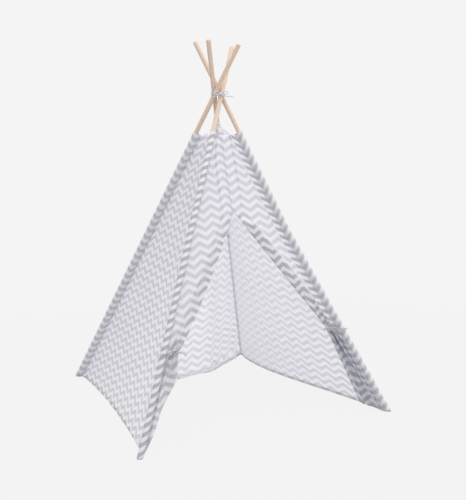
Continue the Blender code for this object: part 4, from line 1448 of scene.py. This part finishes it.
# %% Close the tube and name its material
def cord_tube(name, route, radius=CORD_RADIUS):
    """A braided tube along a route, with rounded, closed ends."""
    path, length = resample(route, RING_STEP)
    rings = len(path) - 1
    verts, uvs, strands = rings_of_points(path, length, radius)
    around = [(number, (number + 1) % CORD_SIDES) for number in range(CORD_SIDES)]
    faces = [(a + ring, b + ring, b + ring + CORD_SIDES, a + ring + CORD_SIDES)
             for ring in range(0, rings * CORD_SIDES, CORD_SIDES) for a, b in around]
    for ring, way, run in ((0, path[0] - path[1], 0.0), (rings, path[-1] - path[-2], length)):
        centre, first = len(verts), ring * CORD_SIDES
        verts.append(path[ring] + way.normalized() * radius * CAP_RISE)
        uvs.append((0.0, run))
        strands.append(0.5)
        faces += [(a + first, b + first, centre) if ring else (b + first, a + first, centre)
                  for a, b in around]
    mesh = bpy.data.meshes.new(name)
    mesh.from_pydata([tuple(vert) for vert in verts], [], faces)
    by_loop = [number for loop in mesh.loops for number in uvs[loop.vertex_index]]
    mesh.uv_layers.new(name="Print").data.foreach_set("uv", by_loop)
    mesh.attributes.new("strand", "FLOAT", "POINT").data.foreach_set("value", strands)
    mesh.materials.append(CORD if name.startswith("lashing") else SHADED_TIE_CORD)
    piece = bpy.data.objects.new(name, mesh)
    bpy.context.scene.collection.objects.link(piece)
    return piece, path, length


print("a tube has", CORD_SIDES, "points a ring and a ring every %.1f mm" % (RING_STEP * 1000))

# %% [markdown]
# ## The lashing's turns
# The lashing is three tight turns round the four poles. A point on it is where a line that
# is pulled away from the crossing leaves the outermost pole. The turns climb a cord's
# thickness each, and repeat the route of their solid.

# %% The lashing's turns
LASHING_TURNS, LASHING_STEPS = 3, 24
LASHING_TURN_GAP, LASHING_EASE, LASHING_DROP = 0.0006, 0.0004, 0.012
BOW_FACING = math.radians(243)


def pole_edge(leg, away, rise):
    """How far the pole reaches this way at this rise, and where its edge is there."""
    lean = leg.axis.to_2d().length / leg.axis.z
    centre = leg.waist - CROSSING - leg.outward * (rise * lean)
    centre.z = 0
    along = POLE_RADIUS * math.hypot(1, lean)
    wide = Vector((leg.outward.dot(away) * along, leg.sideways.dot(away) * POLE_RADIUS))
    edge = centre + leg.outward * (wide.x * along / wide.length)
    edge += leg.sideways * (wide.y * POLE_RADIUS / wide.length)
    return centre.dot(away) + wide.length, edge


def lashing_route():
    clear, pitch = CORD_RADIUS + GAP + LASHING_EASE, 2 * CORD_RADIUS + LASHING_TURN_GAP
    points = []
    for step in range(LASHING_TURNS * LASHING_STEPS + 1):
        angle = BOW_FACING + math.tau * step / LASHING_STEPS
        rise = pitch * (step / LASHING_STEPS - LASHING_TURNS / 2) - LASHING_DROP
        away = Vector((math.cos(angle), math.sin(angle), 0))
        edges = [pole_edge(leg, away, rise) for leg in LEGS.values()]
        edge = max(edges, key=lambda found: found[0])[1]
        points.append(CROSSING + edge + away * clear + Vector((0, 0, rise)))
    return points


WOUND = lashing_route()
print("lashing:", len(WOUND), "points in", LASHING_TURNS, "turns")

# %% [markdown]
# ## Knots
# A knot is a strand laid over itself three times, pulled tight. A ball would look moulded.
# The centre line of a trefoil knot, pressed flat, gives the crossing strands, and every
# cord leaves the knot at a place on its rounded surface.

# %% Knots
KNOT_HALF_WIDTH, KNOT_SQUASH, KNOT_STRAND = 0.0065, 0.75, 0.0021
KNOT_STEPS, KNOT_DEPTH = 72, 0.8


class Knot:
    """A rounded knot, wider than it is deep, and the places where its cords leave it."""

    def __init__(self, centre, right, up, out):
        self.centre, self.sides = centre, (right, up, out)
        depth = KNOT_HALF_WIDTH * KNOT_SQUASH
        self.sizes = Vector((KNOT_HALF_WIDTH, depth, depth))

    def past(self, right, up, out):
        return self.centre + self.sides[0] * right + self.sides[1] * up + self.sides[2] * out

    def port(self, right, up, out):
        """The first two points of a cord that leaves this way."""
        normal = Vector((right, up, out)).normalized()
        scaled = self.sizes * normal
        start = self.sizes * scaled / scaled.length + normal * GAP
        return [self.past(*start), self.past(*(start + normal * 2 * CORD_RADIUS))]

    def piece(self, name, body, node):
        inner = self.sizes - Vector((KNOT_STRAND, KNOT_STRAND, KNOT_STRAND))
        points = []
        for step in range(KNOT_STEPS + 1):
            t = math.tau * step / KNOT_STEPS
            x, y = math.sin(t) + 2 * math.sin(2 * t), math.cos(t) - 2 * math.cos(2 * t)
            z = -math.sin(3 * t) * KNOT_DEPTH
            points.append(self.past(x / 3 * inner.x, y / 3 * inner.y, z * inner.z))
        return finish(cord_tube(name, points, KNOT_STRAND)[0], body, "tie_cord", node)


print("knots: %.0f mm wide" % (2000 * KNOT_HALF_WIDTH))

# %% [markdown]
# ## The bow
# The lashing ends in a bow in front of the poles, with a loop and an end on each side. A
# simulated bow would not lie as its solids do. Its routes are laid from the knot outwards,
# in shares of its own sizes, and repeat the routes of their solids.

# %% The bow's routes
PORT_SIDE, PORT_UP = 0.62, 0.78
BOW_LOOP, BOW_LOOP_HEIGHT, BOW_TAILS = 0.030, 0.009, by_side(0.036, 0.055)
BOW_LOOP_SHARES = ((0.67, 1.33, 0.50), (1.00, 0.67, 1.00), (0.67, -0.25, 1.33))
BOW_TAIL_SHARES = ((0.50, -1.00, 0.25), (0.75, -1.00, 0.00), (1.00, -1.50, 0.00))


def bow(wound):
    out = Vector((math.cos(BOW_FACING), math.sin(BOW_FACING), 0))
    right = Vector((-math.sin(BOW_FACING), math.cos(BOW_FACING), 0))
    seat = max(wound[LASHING_STEPS // 2:-LASHING_STEPS // 2], key=out.dot)
    clear = CORD_RADIUS + GAP + KNOT_HALF_WIDTH * KNOT_SQUASH
    knot, routes = Knot(seat + out * clear, right, Vector((0, 0, 1)), out), {}

    def run(length, hand, shares):
        return [knot.past(length * far * hand, BOW_LOOP_HEIGHT * up, BOW_LOOP_HEIGHT * ahead)
                for far, up, ahead in shares]

    for side, hand in (("left", -1), ("right", 1)):
        loop = knot.port(PORT_SIDE * hand, PORT_UP, 0) + run(BOW_LOOP, hand, BOW_LOOP_SHARES)
        loop += reversed(knot.port(PORT_SIDE * hand, 0, PORT_UP))
        end = knot.port(PORT_SIDE * hand, -PORT_UP, 0)
        routes["lashing_loop_" + side] = loop
        routes["lashing_end_" + side] = end + run(BOW_TAILS[side], hand, BOW_TAIL_SHARES)
    return knot, routes


BOW_KNOT, BOW_ROUTES = bow(WOUND)
print("bow:", ", ".join(BOW_ROUTES))

# %% [markdown]
# ## The ties
# Each tie goes round the pole in its sleeve and round the gathered cloth, and is knotted in
# front of it. Its loop and tails are only a few centimetres long, and fall where the knot
# turns them, so they are given in shares of a loop's size: aside, up and out of the knot.

# %% Loops and tails of the ties
TIE_STUB, TIE_KNOT_SHARE, TIE_TAILS = 0.014, 0.8, by_side(0.042, 0.024)
TIE_SLEEVE_RADIUS, TIE_OFF, TIE_LOOP = 0.0120, 0.001, 0.010
END_SHARES = {"long": (1, ((0.67, -0.33), (0.80, -0.67))), "short": (-1, ((-0.25, -0.50),))}
TIE_BOWS = {
    "left": {
        "high_loop": [(0.5, 0.7, 0.5), (1.2, 1.9, 0.5), (1.9, 2.6, 0.4), (2.1, 2.0, 0.7),
                      (1.4, 1.0, 0.9), (0.8, 0.5, 0.8)],
        "first_tail": [(-0.6, 0.2, 0.6), (-2.4, 0.1, 0.7), (-4.2, -0.9, 0.5), (-5.6, -4.0, 0.3),
                       (-7.4, -8.2, 0.3)],
        "second_tail": [(-0.4, -0.6, 0.6), (-1.7, -1.3, 0.7), (-2.6, -3.2, 0.4),
                        (-3.8, -5.6, 0.2), (-5.0, -8.2, 0.2)],
    },
    "right": {
        "high_loop": [(0.5, 0.7, 0.5), (1.5, 1.8, 0.9), (1.9, 3.2, 1.1), (0.7, 4.0, 1.2),
                      (-0.9, 3.2, 1.1), (-0.6, 1.3, 0.9)],
        "first_tail": [(-0.3, -0.8, 0.5), (-2.0, -2.2, 0.5), (-5.0, -5.4, 0.4),
                       (-8.6, -9.0, 0.4)],
        "second_tail": [(0.6, -0.6, 0.5), (1.3, -1.1, 0.8), (2.3, -1.4, 0.8)],
    },
}
print("each tie has", ", ".join(TIE_BOWS["left"]))

# %% The ties' routes
def tie_route(half, start, reach, along, inward):
    """Round the back of the pole, over the gathered cloth, and back behind it."""
    clear = CORD_RADIUS + GAP
    front = PLEAT_DEPTH + TIE_OFF + clear
    behind = front + 2 * FOLD_RADIUS
    shell = TIE_SLEEVE_RADIUS + clear
    pole = half.leg.at(TIE_HEIGHT[half.side] / half.leg.axis.z)
    round_pole = ((-shell - TIE_STUB, -shell / 3), (-shell, -shell / 2), (-shell / 2, -shell),
                  (shell / 2, -shell - clear / 2))
    round_cloth = ((reach / 3, -front - clear), (reach * TIE_KNOT_SHARE, -front - clear / 2),
                   (reach + clear / 2, -front), (reach + 2 * clear, -front / 2),
                   (reach + 2 * clear, behind / 2), (reach + clear / 2, behind),
                   (reach * 2 / 3, behind + clear / 2), (reach / 4, behind + clear))
    return [base + along * far + inward * deep
            for base, steps in ((pole, round_pole), (start, round_cloth)) for far, deep in steps]


def tie(half):
    """The tie's route, its knot, and the routes of its ends, loop and tails."""
    start = half.outer(TIE_HEIGHT[half.side])
    reach, along = (half.knot - start).length, (half.knot - start).normalized()
    inward = (along.cross(half.leg.axis) * half.hand).normalized()
    route = tie_route(half, start, reach, along, inward)
    clear = CORD_RADIUS + GAP
    lift = PLEAT_DEPTH + TIE_OFF + clear * 2.5 + KNOT_HALF_WIDTH * KNOT_SQUASH
    up = (along.cross(inward) * -half.hand).normalized()
    knot = Knot(start + along * reach * TIE_KNOT_SHARE - inward * lift, along, up, -inward)
    tail, ends, extras = TIE_TAILS[half.side], {}, {}
    for kind, (hand, shares) in END_SHARES.items():
        port = knot.port(PORT_SIDE * hand, -PORT_UP, 0)
        ends[kind] = port + [knot.past(tail * far, tail * rise, 0) for far, rise in shares]
    for name, (first, *others) in TIE_BOWS[half.side].items():
        far = [knot.past(*(TIE_LOOP * share for share in place)) for place in others]
        extras[name] = knot.port(*first) + far
    return route, knot, ends, extras


TIES = {side: tie(half) for side, half in HALVES.items()}
print("ties:", {side: len(route) for side, (route, *others) in TIES.items()}, "points")

# %% [markdown]
# ## Lay the cords
# Every route becomes a tube. Knots and the shortest ends go with the cord that they are on.

# %% Lay the lashing and its bow
SHORTEST_CORD, TOP_BODY = 0.0305, "rear_right_leg"


def lay_cord(name, node, route, body):
    piece, path, length = cord_tube(name, route)
    finish(piece, body, "tie_cord", node)
    tuple(path[0])
    [tuple(point) for point in path]


BOW_PIECE = BOW_KNOT.piece("lashing_bow_knot", TOP_BODY, "lashing_knot")
lay_cord("lashing_turns", "top_lashing", WOUND, TOP_BODY)
for name, route in BOW_ROUTES.items():
    far_end = "object" if "loop" in name else "bare"
    lay_cord(name + "_cord", name, route, TOP_BODY)
print("the lashing is laid")

# %% Lay the ties
for side, half in HALVES.items():
    route, knot, ends, extras = TIES[side]
    body = half.leg.body
    loose = [knot.piece(side + "_tie_wound_knot", body, side + "_tie_knot")]
    for kind, points in ends.items():
        name, node = "%s_%s_tail" % (side, kind), "%s_tie_%s_end" % (side, kind)
        if resample(points, RING_STEP)[1] > SHORTEST_CORD:
            lay_cord(name, node, points, body)
        else:
            loose.append(finish(cord_tube(name, points)[0], body, "tie_cord", node))
    for kind, points in extras.items():
        loose.append(finish(cord_tube("%s_%s" % (side, kind), points)[0], body, "tie_cord"))
    lay_cord(side + "_tie_cord", side + "_tie", route, body)
    print(side, "tie with", len(loose), "pieces on it")

# %% [markdown]
# ## The floor
# The tent stands on a plain pale floor that runs out of sight. Seen by the camera, it glows
# a little with the background's own colour, so that no line shows where it ends, and still
# keeps the shadow. A white backdrop of cloth would need a bend behind the tent, and the
# bend would show from the other sides.

# %% Floor
BACKGROUND = srgb(244, 244, 244)
FLOOR_PALE, FLOOR_GRAIN = srgb(190, 190, 190), srgb(186, 186, 186)
FLOOR_SIZE, FLOOR_SIDES, FLOOR_GLOW, FLOOR_NEAR_FAR = 40.0, 96, 0.962, (1.6, 3.2)


def seen_directly(start):
    """1 for a ray from the camera, or one that glass or metal sends on."""
    rays = [start.node("ShaderNodeLightPath", {}, name) for name in
            ("Is Camera Ray", "Is Glossy Ray", "Is Transmission Ray")]
    return rays[0].most(rays[1]).most(rays[2])


def lay_floor():
    start_fresh()
    bpy.ops.mesh.primitive_circle_add(vertices=FLOOR_SIDES, radius=FLOOR_SIZE / 2,
                                      fill_type="NGON")
    floor = bpy.context.object
    floor.name = "floor"
    material, shader, start = new_material("floor")
    place = start.node("ShaderNodeTexCoord", {}, "Object")
    colour = place.noise(3.0).mix(FLOOR_PALE, FLOOR_GRAIN)
    plug(shader, start, Base_Color=colour, Roughness=0.9, Specular_IOR_Level=0.0)
    far = place.vector("LENGTH", place, output="Value").step(*FLOOR_NEAR_FAR)
    glow = start.node("ShaderNodeEmission", {"Color": BACKGROUND, "Strength": 1.0})
    share = seen_directly(start) * (far * (1 - FLOOR_GLOW) + FLOOR_GLOW)
    show(start, share, Sock(start.tree, shader.outputs[0]), glow)
    floor.data.materials.append(material)


lay_floor()
print("floor: %.0f m across" % FLOOR_SIZE)

# %% [markdown]
# ## Light
# A soft white surrounding does most of the lighting, as in a studio tent. Four large lamps
# give the folds their shape. The one behind shines through the cloth, and the one above
# reaches the poles and the inside. Small lamps would draw hard shadows that the picture
# doesn't have.

# %% Light
SURROUND = 0.91
LAMPS = {
    "key": ((0.4, -3.6, 2.8), (0, 0, 0.7), 1.8, 26.0),
    "fill": ((3.0, -1.2, 2.2), (0, 0, 0.6), 2.2, 12.0),
    "behind": ((0.6, 3.6, 2.6), (0, 0, 0.6), 2.2, 64.0),
    "above": ((0.0, -0.4, 4.4), (0, 0, 0), 3.2, 46.0),
}


def light_world():
    world = bpy.data.worlds.new("studio")
    bpy.context.scene.world = world
    world.use_nodes = True
    start = Sock(world.node_tree, None)
    plain, seen = (start.node("ShaderNodeBackground", {"Color": colour, "Strength": strength})
                   for colour, strength in (((1, 1, 1, 1), SURROUND), (BACKGROUND, 1.0)))
    show(start, seen_directly(start), plain, seen, "World Output")


def lamp(name, place, target, size, watts):
    light = bpy.data.lights.new(name, "AREA")
    light.shape, light.size, light.energy = "DISK", size, watts
    stand = bpy.data.objects.new(name, light)
    stand.location = place
    stand.rotation_euler = (Vector(target) - Vector(place)).to_track_quat("-Z", "Y").to_euler()
    bpy.context.scene.collection.objects.link(stand)


light_world()
for name, facts in LAMPS.items():
    lamp(name, *facts)
bpy.context.scene.view_settings.view_transform = "Standard"
print("light: a surround of %.2f and %d lamps" % (SURROUND, len(LAMPS)))
